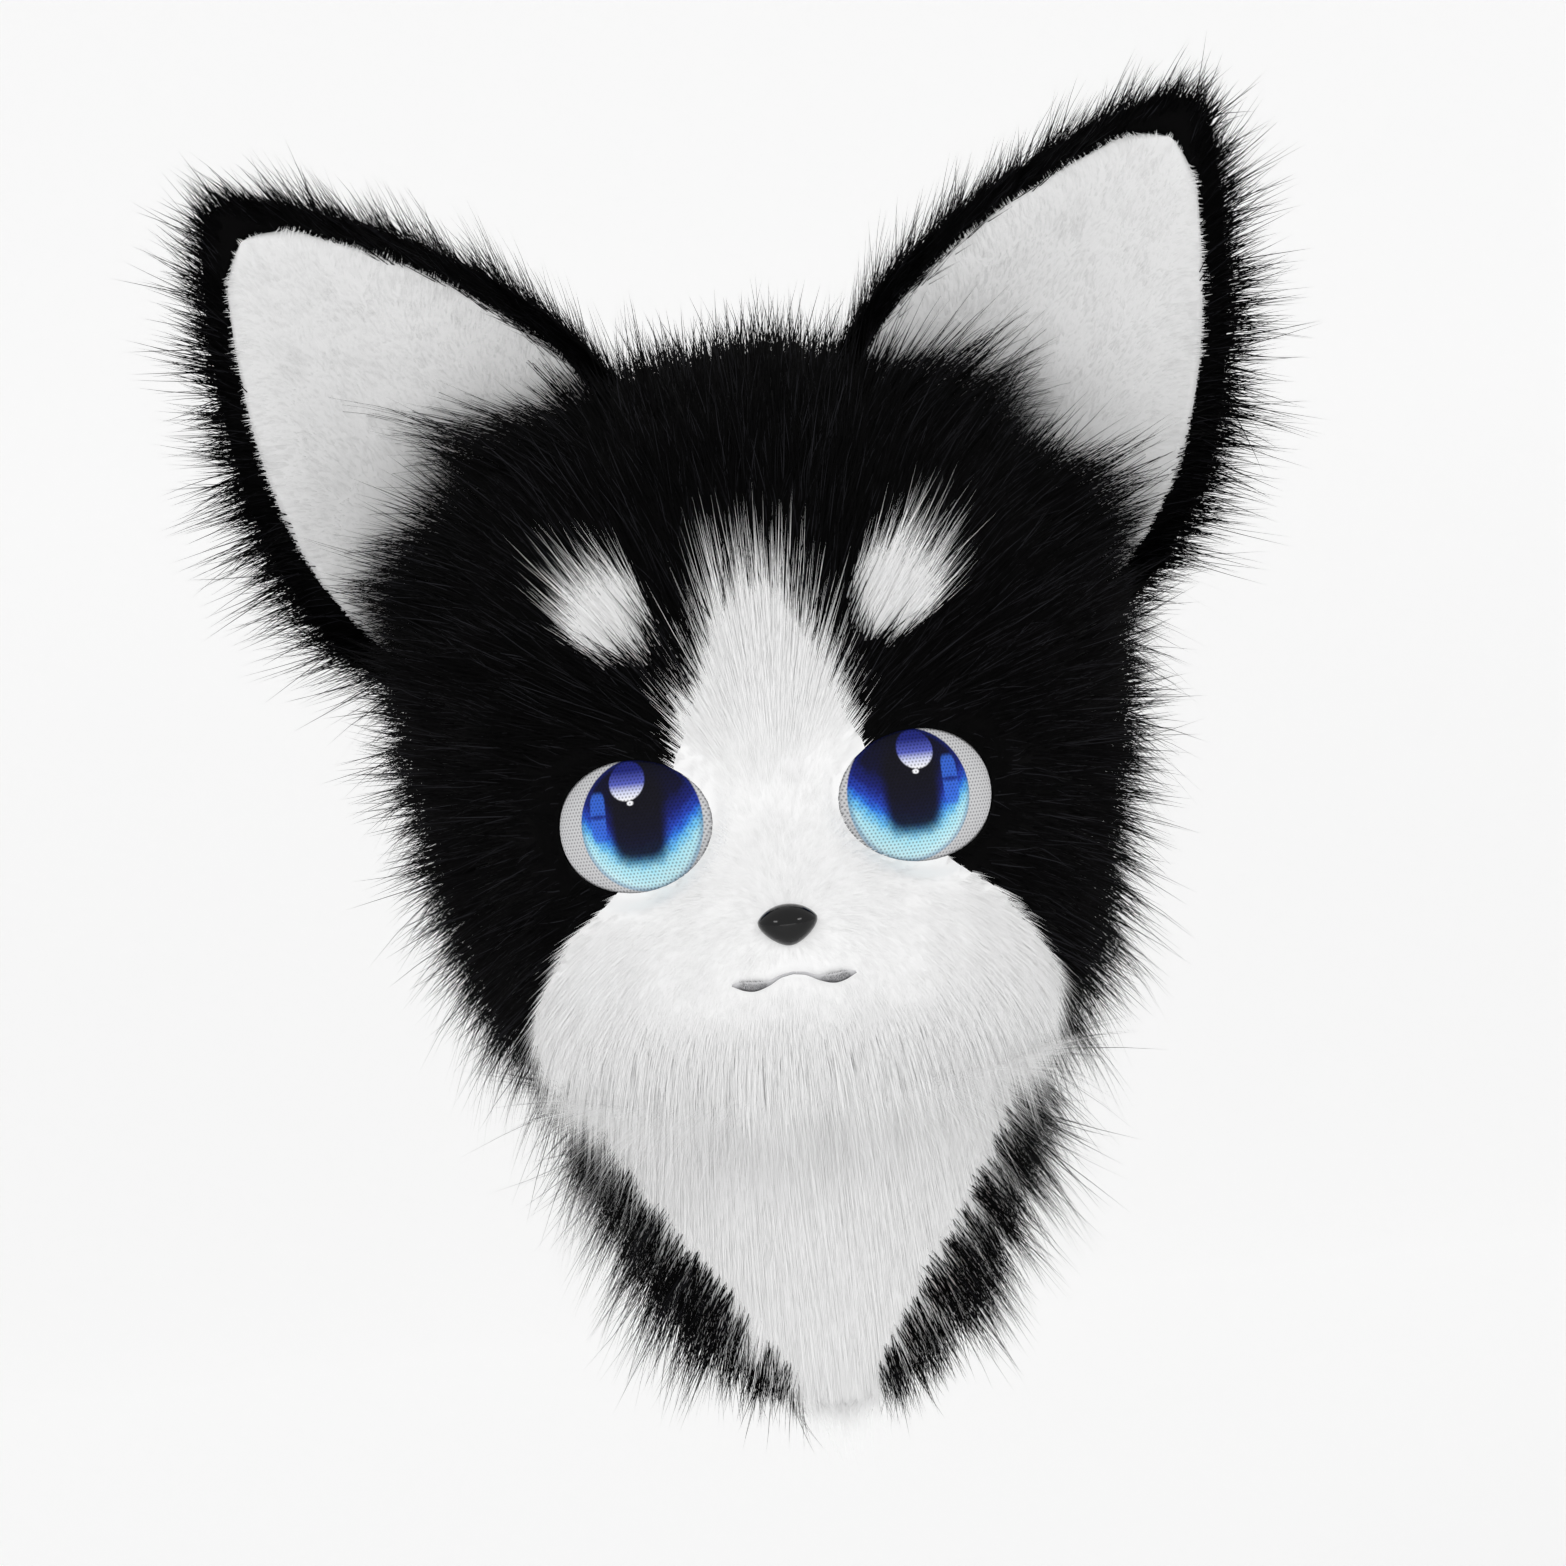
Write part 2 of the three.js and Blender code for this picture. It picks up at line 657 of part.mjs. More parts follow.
const collar = neckCollar();
const bibBody = () => mainPiece(collar.intersect(prism(bibOutline(0), -reachPast, 0)));
const maneBody = () => mainPiece(collar.subtract(prism(bibOutline(gap), -reachPast, 0)));

// Assemble
const head = new THREE.Group();

function add(name, geometry, colour, roughness) {
  const material = new THREE.MeshStandardMaterial({ color: colour, roughness, metalness: 0 });
  const mesh = new THREE.Mesh(geometry, material);
  mesh.name = name;
  head.add(mesh);
  return mesh;
}

add("head_form", geometryOf(formBody()), colours.black, 0.9);
add("face_fur", geometryOf(faceBody()), colours.white, 0.95);
add("hood_fur", geometryOf(hoodBody()), colours.black, 0.9);
add("bib_fur", geometryOf(bibBody()), colours.white, 0.95);
add("mane_fur", geometryOf(maneBody()), colours.black, 0.9);
add("nose", geometryOf(noseBody(0)), colours.gloss, 0.15);
add("mouth_line", geometryOf(mouthBody(0)), colours.mouth, 0.9);

const dish = eyeDish();
for (const [name, side] of [["left", 1], ["right", -1]]) {
  add(`brow_spot_${name}`, geometryOf(browBody(side)), colours.white, 0.95);
  add(`ear_${name}`, geometryOf(onForm(ear.subtract(earLining(gap)), side)), colours.black, 0.9);
  add(`ear_lining_${name}`, geometryOf(onForm(earLining(0), side)), colours.plush, 0.95);
  const eye = add(`eye_${name}`, dish, colours.mesh, 0.4);
  eye.applyMatrix4(eyeFrame(side));
}

export default head;
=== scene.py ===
# A husky-style costume head, dressed for its picture: long black and white faux fur in strands over
# the padded form, plush ear linings, printed mesh eyes, a moulded nose and a soft mouth line.
# Metres, +Z up. The face looks along -Y, and left and right are the wearer's, so left is +X.
import math
from contextlib import contextmanager
from functools import partial

import bpy
import bmesh
import numpy as np
from bpy.props import FloatProperty, FloatVectorProperty, IntProperty, PointerProperty
from mathutils import Matrix, Vector


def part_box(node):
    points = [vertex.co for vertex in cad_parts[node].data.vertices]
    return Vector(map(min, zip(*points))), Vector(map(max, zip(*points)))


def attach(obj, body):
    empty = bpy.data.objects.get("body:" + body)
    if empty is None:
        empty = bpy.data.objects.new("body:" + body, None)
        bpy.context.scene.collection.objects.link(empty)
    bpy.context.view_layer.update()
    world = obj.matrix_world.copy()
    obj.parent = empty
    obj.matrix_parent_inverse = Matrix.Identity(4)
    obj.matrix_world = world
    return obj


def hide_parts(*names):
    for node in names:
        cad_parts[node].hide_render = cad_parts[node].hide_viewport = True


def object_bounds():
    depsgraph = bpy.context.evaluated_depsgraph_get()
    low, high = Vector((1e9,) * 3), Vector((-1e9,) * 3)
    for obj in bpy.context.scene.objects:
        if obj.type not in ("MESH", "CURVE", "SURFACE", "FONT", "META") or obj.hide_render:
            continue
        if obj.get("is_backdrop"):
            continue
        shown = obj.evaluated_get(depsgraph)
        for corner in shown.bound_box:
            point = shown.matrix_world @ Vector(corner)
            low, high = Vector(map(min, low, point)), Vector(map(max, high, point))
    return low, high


bl_info = {
    "name": "Costume head",
    "version": (1, 0, 0),
    "blender": (4, 5, 0),
    "location": "View3D > Sidebar > Costume head",
    "description": "Builds the fur, ears, eyes, nose and mouth of a husky-style costume head",
    "category": "Add Mesh",
}

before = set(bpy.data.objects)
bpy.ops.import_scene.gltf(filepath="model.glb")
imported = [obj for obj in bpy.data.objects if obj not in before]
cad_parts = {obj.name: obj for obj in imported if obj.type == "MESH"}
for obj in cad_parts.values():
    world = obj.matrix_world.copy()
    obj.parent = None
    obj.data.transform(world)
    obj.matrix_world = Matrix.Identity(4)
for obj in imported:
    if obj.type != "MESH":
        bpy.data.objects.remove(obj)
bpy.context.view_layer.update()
FORM_LOW, FORM_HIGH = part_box("head_form")

MM = 0.001
# Points closer than this are one
SAME = 0.01 * MM
RIM = FORM_LOW.z
CROWN = FORM_HIGH.z
GAP = 0.3 * MM
SIDES = (("left", 1), ("right", -1))
MATH = "ShaderNodeMath"
VECTOR = "ShaderNodeVectorMath"
STORE = "GeometryNodeStoreNamedAttribute"
SCATTER = "GeometryNodeDistributePointsOnFaces"
SAMPLE = "GeometryNodeSampleIndex"

# How square the form's sections are: 2 is an ellipse
SQUARENESS = 2.2
# Places further before or behind an eye than its reach, in metres, count as this many radii off it
EYE_REACH = 0.06
FAR = 9.0
# The opening in the fur, as shares of the eye's mesh, and the hole in the form behind it
OPENING_WIDE = 0.985
OPENING_TALL = 0.89
HOLE = 0.72
# Rows near the crown at which the form's outer skin, its hollow and the cloth end
OUTER_TOP = 9.93
HOLLOW_TOP = 9.2
CLOTH_TOP = 9.9


def table(columns, rows):
    """Rows of values, each named by its column."""
    return [dict(zip(columns.split(), row)) for row in rows]


# Padded form, from below the neck rim up. Height is a share of the form's height, width of half its
# width, front and back of its depths. The last row mirrors the row before the crown.
HEAD_ROWS = table("height width front back", [
    (-0.09, 0.57, 0.66, 0.66),
    (0.0, 0.67, 0.82, 0.75),
    (0.093, 0.735, 0.93, 0.84),
    (0.203, 0.85, 0.99, 0.92),
    (0.327, 0.92, 1.01, 0.98),
    (0.5, 0.98, 1.0, 1.0),
    (0.644, 1.0, 0.945, 0.97),
    (0.769, 0.9, 0.81, 0.87),
    (0.875, 0.71, 0.62, 0.68),
    (0.957, 0.43, 0.36, 0.41),
    (1.0, 0.0, 0.0, 0.0),
    (0.957, -0.43, -0.36, -0.41),
])
CROWN_ROW = 10

# Soft swellings of the face, pushed forwards, as shares of the same sizes and of the nose's height
SWELLINGS = table("across above out wide tall", [
    (0.0, -0.12, 0.36, 0.36, 0.58),
    (0.3, -0.4, 0.1, 0.3, 0.45),
    (-0.3, -0.4, 0.1, 0.3, 0.45),
    (0.0, -0.9, 0.1, 0.4, 0.4),
])

# Edge of the white face from the top of the blaze down, as shares of the cheek's reach and the
# blaze's rise above the nose
FACE_EDGE = table("across rise", [
    (0.0, 1.0),
    (0.07, 0.95),
    (0.14, 0.85),
    (0.21, 0.73),
    (0.3, 0.57),
    (0.37, 0.46),
    (0.5, 0.25),
    (0.61, 0.12),
    (0.76, 0.02),
    (0.87, -0.12),
    (0.95, -0.25),
    (0.93, -0.36),
    (0.84, -0.45),
    (0.7, -0.8),
])

# Longer tufts of the hood over the roots of the ears: across from the centre line and above the
# nose, how far round they reach, in metres, and how much longer they are
HOOD_TUFTS = table("across rise reach longer", [
    (0.079, 0.198, 0.021, 0.8),
    (0.124, 0.152, 0.024, 0.5),
])

# Edge of the white bib from the neck rim down, as shares of half the neck's width and the bib's drop
BIB_EDGE = table("across drop", [
    (1.3, -0.2),
    (1.2, 0.0),
    (0.97, 0.27),
    (0.64, 0.56),
    (0.33, 0.88),
    (0.2, 1.5),
])

# Hem of the neck from the front (0 degrees) to the nape (180), as shares of the bib's drop
HEM_ROWS = table("turn drop", [
    (0, 1.0),
    (22, 0.93),
    (43, 0.69),
    (70, 0.29),
    (92, 0.13),
    (120, 0.22),
    (150, 0.44),
    (180, 0.52),
])

# Ear from below its root to its tip, as shares of its length, width and hollow
EAR_ROWS = table("along width cup", [
    (-0.3, 0.86, 1.0),
    (0.0, 1.0, 1.0),
    (0.22, 1.0, 0.96),
    (0.36, 0.93, 0.8),
    (0.52, 0.79, 0.6),
    (0.68, 0.6, 0.4),
    (0.82, 0.4, 0.22),
    (0.93, 0.22, 0.1),
    (0.985, 0.1, 0.02),
])
EAR_LAST = len(EAR_ROWS) - 1

# Mouth line from its middle to its corner, as shares of half its width and its drop below the nose
MOUTH_ROWS = table("across drop line", [
    (0.0, 0.0, 0.05),
    (0.2, 0.05, 0.06),
    (0.4, 0.18, 0.1),
    (0.62, 0.27, 0.18),
    (0.8, 0.25, 0.17),
    (1.0, 0.15, 0.04),
])

# How each coat of fur is sewn: strands a square metre, their width in millimetres, how steeply they
# rise from the cloth in degrees, how far they bend back down, how far apart locks are in
# millimetres, how strongly a lock draws together, how unevenly strands lie, the shortest strand's
# share of the length, how much longer the few guard hairs are, the rows of points in a strand, and
# the seed of its random draws
COAT_ROWS = table("coat density width lift bend lock draw stray least guard steps seed", [
    ("hood", 310e3, 0.6, 20, 0.14, 8, 0.68, 0.14, 0.54, 0.45, 4, 3),
    ("nape", 215e3, 0.75, 22, 0.16, 14, 0.55, 0.18, 0.42, 0.38, 4, 5),
    ("face", 1900e3, 0.26, 8, 0.05, 3.5, 0.15, 0.06, 0.32, 0.6, 3, 7),
    ("brow", 2200e3, 0.22, 16, 0.08, 3, 0.15, 0.15, 0.3, 0.55, 4, 11),
    ("bib", 3700e3, 0.26, 3.5, 0.04, 3, 0.06, 0.03, 0.38, 0.7, 3, 13),
    ("mane", 600e3, 0.55, 24, 0.1, 11, 0.55, 0.17, 0.46, 0.4, 4, 17),
    ("ear", 380e3, 0.55, 24, 0.1, 11, 0.5, 0.17, 0.46, 0.4, 4, 19),
    ("plush", 700e3, 0.5, 10, 0.1, 8, 0.15, 0.1, 0.5, 0.2, 3, 23),
    ("mouth", 6e6, 0.2, 14, 0.1, 2, 0.2, 0.2, 0.4, 0.1, 3, 29),
])
COATS = {row["coat"]: row for row in COAT_ROWS}


def metres(name, description, default):
    """A length that a user can change."""
    return FloatProperty(name=name, description=description, default=default, unit="LENGTH")


def degrees(name, description, default):
    """An angle that a user can change."""
    return FloatProperty(name=name, description=description, default=math.radians(default), unit="ROTATION")


class HeadSizes(bpy.types.PropertyGroup):
    """Sizes of the padded form and of what is sewn to it."""

    head_width: metres("Head width", "Width of the padded form", 0.260)
    forehead: metres("Forehead depth", "From the centre line to the forehead", 0.112)
    nape: metres("Nape depth", "From the centre line to the back of the head", 0.125)
    nose_height: metres("Nose height", "Of the nose above the neck rim", 0.066)
    padding: metres("Padding", "Thickness of the form's sides", 0.012)
    front_padding: metres("Front padding", "Thickness of the form's front", 0.020)
    blaze_top: metres("Blaze top", "Top of the white blaze above the nose", 0.146)
    cheek_reach: metres("Cheek reach", "From the centre line to the white cheek's edge", 0.118)
    face_depth: metres("Face depth", "How far behind the centre line the white ends", 0.008)
    short_pile: metres("Short pile", "Pile on the muzzle", 0.006)
    long_pile: metres("Long pile", "Pile on the sides and the back", 0.018)
    neck_width: metres("Neck width", "Inside the neck", 0.154)
    bib_drop: metres("Bib drop", "From the neck rim to the hem in front", 0.121)


class EarSizes(bpy.types.PropertyGroup):
    """Sizes of an ear and its lining."""

    length: metres("Length", "From the root to the tip", 0.175)
    width: metres("Width", "Across the widest part", 0.156)
    cup: metres("Cup", "Depth of the hollow", 0.034)
    thickness: metres("Thickness", "Of the padding", 0.013)
    hem: metres("Hem", "Thickness at the edge", 0.007)
    lean: degrees("Lean", "Outwards from upright", 34)
    turn: degrees("Turn", "Of the opening outwards", 8)
    root: FloatProperty(name="Root", description="Height of the root, as a share of the form's",
                        default=0.835)
    border: metres("Border", "Black border round the lining", 0.0105)
    lining: metres("Lining", "Thickness of the plush", 0.004)


class FaceSizes(bpy.types.PropertyGroup):
    """Sizes of the eyes, brows, nose and mouth."""

    eye_across: metres("Eye across", "From the centre line to an eye's middle", 0.0565)
    eye_rise: metres("Eye rise", "Of an eye's middle above the nose", 0.043)
    eye_width: metres("Eye width", "Of the mesh", 0.068)
    eye_height: metres("Eye height", "Of the mesh", 0.058)
    eye_dome: metres("Eye dome", "How far the mesh bulges", 0.010)
    eye_turn: degrees("Eye turn", "Outwards", 24)
    eye_seat: metres("Eye seat", "Of the rim below the form's surface", 0.006)
    brow_across: metres("Brow across", "From the centre line to a spot's middle", 0.057)
    brow_rise: metres("Brow rise", "Of a spot's middle above the nose", 0.127)
    brow_width: metres("Brow width", "Of a spot", 0.037)
    brow_height: metres("Brow height", "Of a spot", 0.046)
    brow_lean: degrees("Brow lean", "Of the tops outwards", 14)
    nose_width: metres("Nose width", "Across the nose", 0.022)
    nose_tall: metres("Nose height", "From top to bottom", 0.016)
    nose_out: metres("Nose out", "How far it stands out", 0.009)
    mouth_width: metres("Mouth width", "From corner to corner", 0.043)
    mouth_drop: metres("Mouth drop", "Of its middle below the nose", 0.017)


class FurLooks(bpy.types.PropertyGroup):
    """Strand lengths and fullness."""

    hood_length: metres("Hood strands", "On the sides, crown and back", 0.043)
    brow_length: metres("Forehead strands", "Round the blaze and the brows", 0.027)
    face_length: metres("Muzzle strands", "Round the nose and mouth", 0.006)
    neck_length: metres("Neck strands", "On the bib and the mane", 0.038)
    ear_length: metres("Ear strands", "On an ear's back and edge", 0.034)
    lining_length: metres("Lining strands", "On the plush", 0.006)
    fullness: FloatProperty(name="Fullness", description="Share of the strands that are made", default=1.0,
                            min=0.01, max=1.0, subtype="FACTOR")
    round_steps: IntProperty(name="Steps round", description="Faces round the head", default=200, min=24)


def colour_property(name, description, value):
    """A colour that a user can change, from its sRGB hex value."""
    return FloatVectorProperty(name=name, description=description, subtype="COLOR_GAMMA", size=3, min=0,
                               max=1, default=[int(value[i:i + 2], 16) / 255 for i in (1, 3, 5)])


class HeadColours(bpy.types.PropertyGroup):
    """Colours of the cloths, as they look."""

    # The black pile's lightest strands: the few that reach this colour are painted sheen, the rest are drawn
    # far darker
    black: colour_property("Black fur", "Lightest strands of the black pile", "#29292D")
    white: colour_property("White fur", "Tips of the white pile", "#FEFEFE")
    plush: colour_property("Plush", "Ear linings", "#F2F2F2")
    lining: colour_property("Form", "Lining cloth inside the head", "#2A2A2D")
    nose: colour_property("Nose", "Moulded nose", "#050506")
    mouth: colour_property("Mouth", "Short hairs of the mouth line", "#2C2C30")
    stage: colour_property("Stage", "Floor and backdrop", "#FAFAFA")


class HeadSettings(bpy.types.PropertyGroup):
    """All settings of the head."""

    sizes: PointerProperty(type=HeadSizes)
    ear: PointerProperty(type=EarSizes)
    face: PointerProperty(type=FaceSizes)
    fur: PointerProperty(type=FurLooks)
    colours: PointerProperty(type=HeadColours)


# Small sums

def smooth_rows(table, columns, at):
    """Smooth values between a table's rows, at row numbers."""
    values = np.array([[row[column] for column in columns] for row in table], float)
    ends = np.vstack([2 * values[0] - values[1], values, 2 * values[-1] - values[-2]])
    at = np.asarray(at, float)
    row = np.clip(np.floor(at).astype(int), 0, len(values) - 2)
    t = (at - row)[..., None]
    a, b, c, d = (ends[row + k] for k in range(4))
    curve = 2 * b + (c - a) * t + (2 * a - 5 * b + 4 * c - d) * t**2 + (3 * b - a - 3 * c + d) * t**3
    return [curve[..., k] / 2 for k in range(len(columns))]


def row_at(table, column, value, last, steps=400):
    """Row numbers at which a rising column has these values."""
    rows = np.linspace(0, last, steps)
    return np.interp(value, smooth_rows(table, [column], rows)[0], rows)


def signed_power(value, power):
    """A power that keeps the sign."""
    return np.sign(value) * np.abs(value) ** power


def smooth_step(value, low, high):
    """Rises softly from 0 at low to 1 at high."""
    t = np.clip((value - low) / (high - low), 0, 1)
    return t * t * (3 - 2 * t)


def stack(x, y, z):
    """Points or directions from three coordinates."""
    return np.stack(np.broadcast_arrays(x, y, z), axis=-1)


def unit(vectors):
    """Directions made 1 long."""
    return vectors / np.maximum(np.linalg.norm(vectors, axis=-1, keepdims=True), 1e-9)


def waves(points, length, seed):
    """Soft uneven values from -1 to 1 that vary over a length."""
    maker = np.random.default_rng(seed)
    total = np.zeros(points.shape[:-1])
    for _ in range(6):
        way = unit(maker.normal(size=3)) * maker.uniform(0.6, 1.6) * 2 * math.pi / length
        total += np.sin(points @ way + maker.uniform(0, 2 * math.pi))
    return total / 6


# The padded form

def nose_level(s):
    """Height of the nose's middle."""
    return RIM + s.nose_height


def section_points(s, row, turn, inset):
    """Points on the plain sections, drawn in by an inset at the sides, the front and the crown."""
    side, front, crown = inset
    height, width, ahead, behind = smooth_rows(HEAD_ROWS, ["height", "width", "front", "back"], row)
    across = np.maximum(width * s.head_width / 2 - side, 0)
    forwards = np.maximum(ahead * s.forehead - front, 0)
    backwards = np.maximum(behind * s.nape - side, 0)
    away = signed_power(np.cos(turn), 2 / SQUARENESS)
    return stack(
        across * signed_power(np.sin(turn), 2 / SQUARENESS),
        -away * np.where(away > 0, forwards, backwards),
        RIM + height * (CROWN - RIM - crown),
    )


def form_points(s, row, turn):
    """Points on the form's skin, with its swellings."""
    places = section_points(s, row, turn, (0, 0, 0))
    x, y, z = places[..., 0], places[..., 1], places[..., 2]
    frontness = smooth_step(-y, 0, s.forehead / 2)
    for bump in SWELLINGS:
        sideways = (x - bump["across"] * s.head_width / 2) / (bump["wide"] * s.head_width / 2)
        upwards = (z - nose_level(s) - bump["above"] * s.nose_height) / (bump["tall"] * s.nose_height)
        y = y - bump["out"] * s.forehead * frontness * np.exp(-(sideways**2) - upwards**2)
    return stack(x, y, z)


def form_normals(s, row, turn):
    """Outward normals of the form's skin."""
    step = 0.02
    upwards = form_points(s, row + step, turn) - form_points(s, row - step, turn)
    sideways = form_points(s, row, turn + step) - form_points(s, row, turn - step)
    return unit(np.cross(sideways, upwards))


def front_place(s, x, z):
    """Points and normals on the front of the form at x and z."""
    row = row_at(HEAD_ROWS, "height", (z - RIM) / (CROWN - RIM), CROWN_ROW)
    widest = smooth_rows(HEAD_ROWS, ["width"], row)[0] * s.head_width / 2
    turn = np.arcsin(signed_power(np.clip(x / widest, -1, 1), SQUARENESS / 2))
    return form_points(s, row, turn), form_normals(s, row, turn)


def pile_at(s, y):
    """Thickness of the pile, from the muzzle back."""
    muzzle, temples = -0.098, -0.030
    return s.short_pile + (s.long_pile - s.short_pile) * smooth_step(y, muzzle, temples)


def hair_flow(s, places):
    """Which way the hair lies: back from the face, then down the back of the head."""
    x, y, z = places[..., 0], places[..., 1], places[..., 2]
    rise = z - nose_level(s) - 0.0215 - 0.35 * np.abs(x)
    away = unit(stack(x, s.forehead / 2, rise))
    down = unit(stack(x / 4, s.nape / 4, -s.nape))
    behind = smooth_step(y, -s.forehead / 3, s.nape / 2)[..., None]
    return unit(away * (1 - behind) + down * behind)


def fluffed(flow, normals, most):
    """Hair that stands off more where the cloth faces sideways or up."""
    sideways = smooth_step(1 - np.abs(normals[..., 1]), 0.3, 0.9)
    calmer = 1 - 0.45 * np.maximum(normals[..., 2], 0)
    return flow + normals * (most * sideways * calmer)[..., None]


def eye_frame(s, f, side):
    """Matrix of an eye's own frame: X across, Z up, looking along -Y."""
    place, _ = front_place(s, np.array(side * f.eye_across), np.array(nose_level(s) + f.eye_rise))
    angle = side * f.eye_turn
    looks = Vector((math.sin(angle), -math.cos(angle), 0))
    seat = Vector(place) - looks * f.eye_seat
    return Matrix.Translation(seat) @ Matrix.Rotation(angle, 4, "Z")


def eye_ring(s, f, places, side):
    """How far places are from an eye's middle, as a share of its radius, and places in its frame."""
    local = moved(places, eye_frame(s, f, side).inverted())
    ring = np.hypot(local[..., 0] / (f.eye_width / 2), local[..., 2] / (f.eye_height / 2))
    return np.where(np.abs(local[..., 1]) > EYE_REACH, FAR, ring), local


def eye_opening(s, f, places, side):
    """The same for the opening in the fur, which is lower than the mesh, and how deep its edge lies."""
    ring, local = eye_ring(s, f, places, side)
    opening = np.hypot(local[..., 0] / (f.eye_width / 2 * OPENING_WIDE),
                       local[..., 2] / (f.eye_height / 2 * OPENING_TALL))
    depth = -f.eye_dome * np.sqrt(np.maximum(1 - ring**2, 0.0)) - 0.0008
    return np.where(ring > FAR - 1, FAR, opening), local, depth


def moved(places, matrix):
    """Points taken into a frame."""
    m = np.array(matrix)
    return places @ m[:3, :3].T + m[:3, 3]


def turned(ways, matrix):
    """Directions taken into a frame."""
    return ways @ np.array(matrix)[:3, :3].T


def face_reach(s, places):
    """How far the white face reaches sideways. Its hair reaches past it, so it ends a little inside."""
    hair_up, hair_sideways = 0.018, 0.008
    rises = [row["rise"] * (s.blaze_top - hair_up) + nose_level(s) for row in FACE_EDGE][::-1]
    reach = [row["across"] * (s.cheek_reach - hair_sideways) for row in FACE_EDGE][::-1]
    return np.interp(places[..., 2], rises, reach, right=-1) + 0.0016 * waves(places, 0.012, 41)


def face_mask(s, places):
    """Which places are on the white face."""
    return (np.abs(places[..., 0]) < face_reach(s, places)) & (places[..., 1] < s.face_depth)


def snap_to_edge(places, is_white, wide, furthest):
    """Moves the points between white and black sideways onto the white panel's edge."""
    faces = grid_faces(*places.shape[:2], True)
    flat = places.reshape(-1, 3).copy()
    wide = np.broadcast_to(wide, places.shape[:2]).ravel()
    white = np.bincount(faces[is_white].ravel(), minlength=len(flat)) > 0
    black = np.bincount(faces[~is_white].ravel(), minlength=len(flat)) > 0
    close = np.abs(np.abs(flat[:, 0]) - wide) < furthest
    near = white & black & close & (flat[:, 1] < -0.02) & (wide > 0.004)
    flat[near, 0] = (np.sign(flat[:, 0]) * wide)[near]
    return flat.reshape(places.shape)


def brow_mask(s, f, places, side):
    """Which places are on a white brow."""
    across = side * places[..., 0] - f.brow_across + 0.005
    upwards = places[..., 2] - nose_level(s) - f.brow_rise + 0.008
    sideways = across * math.cos(f.brow_lean) - upwards * math.sin(f.brow_lean)
    along = upwards * math.cos(f.brow_lean) + across * math.sin(f.brow_lean)
    ring = np.hypot(sideways / (f.brow_width / 2), along / (f.brow_height / 2 * 0.9))
    return (ring < 0.78 + 0.06 * waves(places, 0.01, 43)) & (places[..., 1] < 0)


# Making meshes

def linear(value):
    """Linear light of an sRGB hex colour, or of three sRGB values."""
    if isinstance(value, str):
        value = [int(value[i:i + 2], 16) / 255 for i in (1, 3, 5)]
    return [c / 12.92 if c <= 0.04045 else ((c + 0.055) / 1.055) ** 2.4 for c in value] + [1.0]


def round_turns(count):
    """Angles all round, as one row."""
    return np.linspace(0, 2 * np.pi, count, endpoint=False)[None, :]


def new_object(name, data):
    """An object of the scene that shows this data."""
    piece = bpy.data.objects.new(name, data)
    bpy.context.scene.collection.objects.link(piece)
    return piece


def grid_faces(rows, columns, closed):
    """Corner numbers of a grid's quads, whose points run row by row."""
    row, column = np.meshgrid(np.arange(rows - 1), np.arange(columns if closed else columns - 1),
                              indexing="ij")
    beside = (column + 1) % columns
    corners = [row * columns + column, row * columns + beside, (row + 1) * columns + beside,
               (row + 1) * columns + column]
    return np.stack(corners, axis=-1)


@contextmanager
def mesh_work(*meshes):
    """Opens meshes together for work and puts the result into the first."""
    work = bmesh.new()
    for mesh in meshes:
        work.from_mesh(mesh)
    yield work
    work.to_mesh(meshes[0])
    work.free()


def grid_piece(name, places, closed, keep=None, values=None):
    """A skin through a grid of points, with named values at them. Keep says which quads stay."""
    rows, columns = places.shape[:2]
    faces = grid_faces(rows, columns, closed)
    chosen = faces.reshape(-1, 4) if keep is None else faces[keep]
    mesh = bpy.data.meshes.new(name)
    mesh.from_pydata(places.reshape(-1, 3).tolist(), [], chosen.tolist())
    for key, value in (values or {}).items():
        kind = "FLOAT_VECTOR" if value.ndim == 3 else "FLOAT"
        layer = mesh.attributes.new(key, kind, "POINT")
        layer.data.foreach_set("vector" if value.ndim == 3 else "value",
                               np.ascontiguousarray(value, np.float32).ravel())
    with mesh_work(mesh) as work:
        bmesh.ops.delete(work, geom=[v for v in work.verts if not v.link_faces], context="VERTS")
        bmesh.ops.remove_doubles(work, verts=work.verts, dist=SAME)
    mesh.shade_smooth()
    return new_object(name, mesh)


def applied(piece, modifier):
    """Gives a piece the plain mesh that its modifier makes, without the modifier."""
    graph = bpy.context.evaluated_depsgraph_get()
    made = bpy.data.meshes.new_from_object(piece.evaluated_get(graph), preserve_all_data_layers=True,
                                           depsgraph=graph)
    piece.modifiers.remove(modifier)
    bare = piece.data
    piece.data = made
    made.name = piece.name
    bpy.data.meshes.remove(bare)
    return made


def quad_middles(places, closed):
    """Middles of a grid's quads."""
    faces = grid_faces(*places.shape[:2], closed)
    return places.reshape(-1, 3)[faces].mean(axis=2)


def grid_normals(places, closed):
    """Normals of a grid of points; rows run up, columns to the right seen from outside."""
    if closed:
        across = np.roll(places, -1, axis=1) - np.roll(places, 1, axis=1)
    else:
        across = np.gradient(places, axis=1)
    return unit(np.cross(across, np.gradient(places, axis=0)))


def lying(flow, normals):
    """The part of a flow that lies along the skin."""
    return unit(flow - (flow * normals).sum(axis=-1, keepdims=True) * normals)


def finish_piece(piece, slot, nodes, material=None):
    """Puts a piece on its body, in place of the plain solids that it stands for."""
    if material:
        piece.data.materials.clear()
        piece.data.materials.append(material)
    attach(piece, "root")
    if nodes:
        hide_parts(*nodes)
    return piece


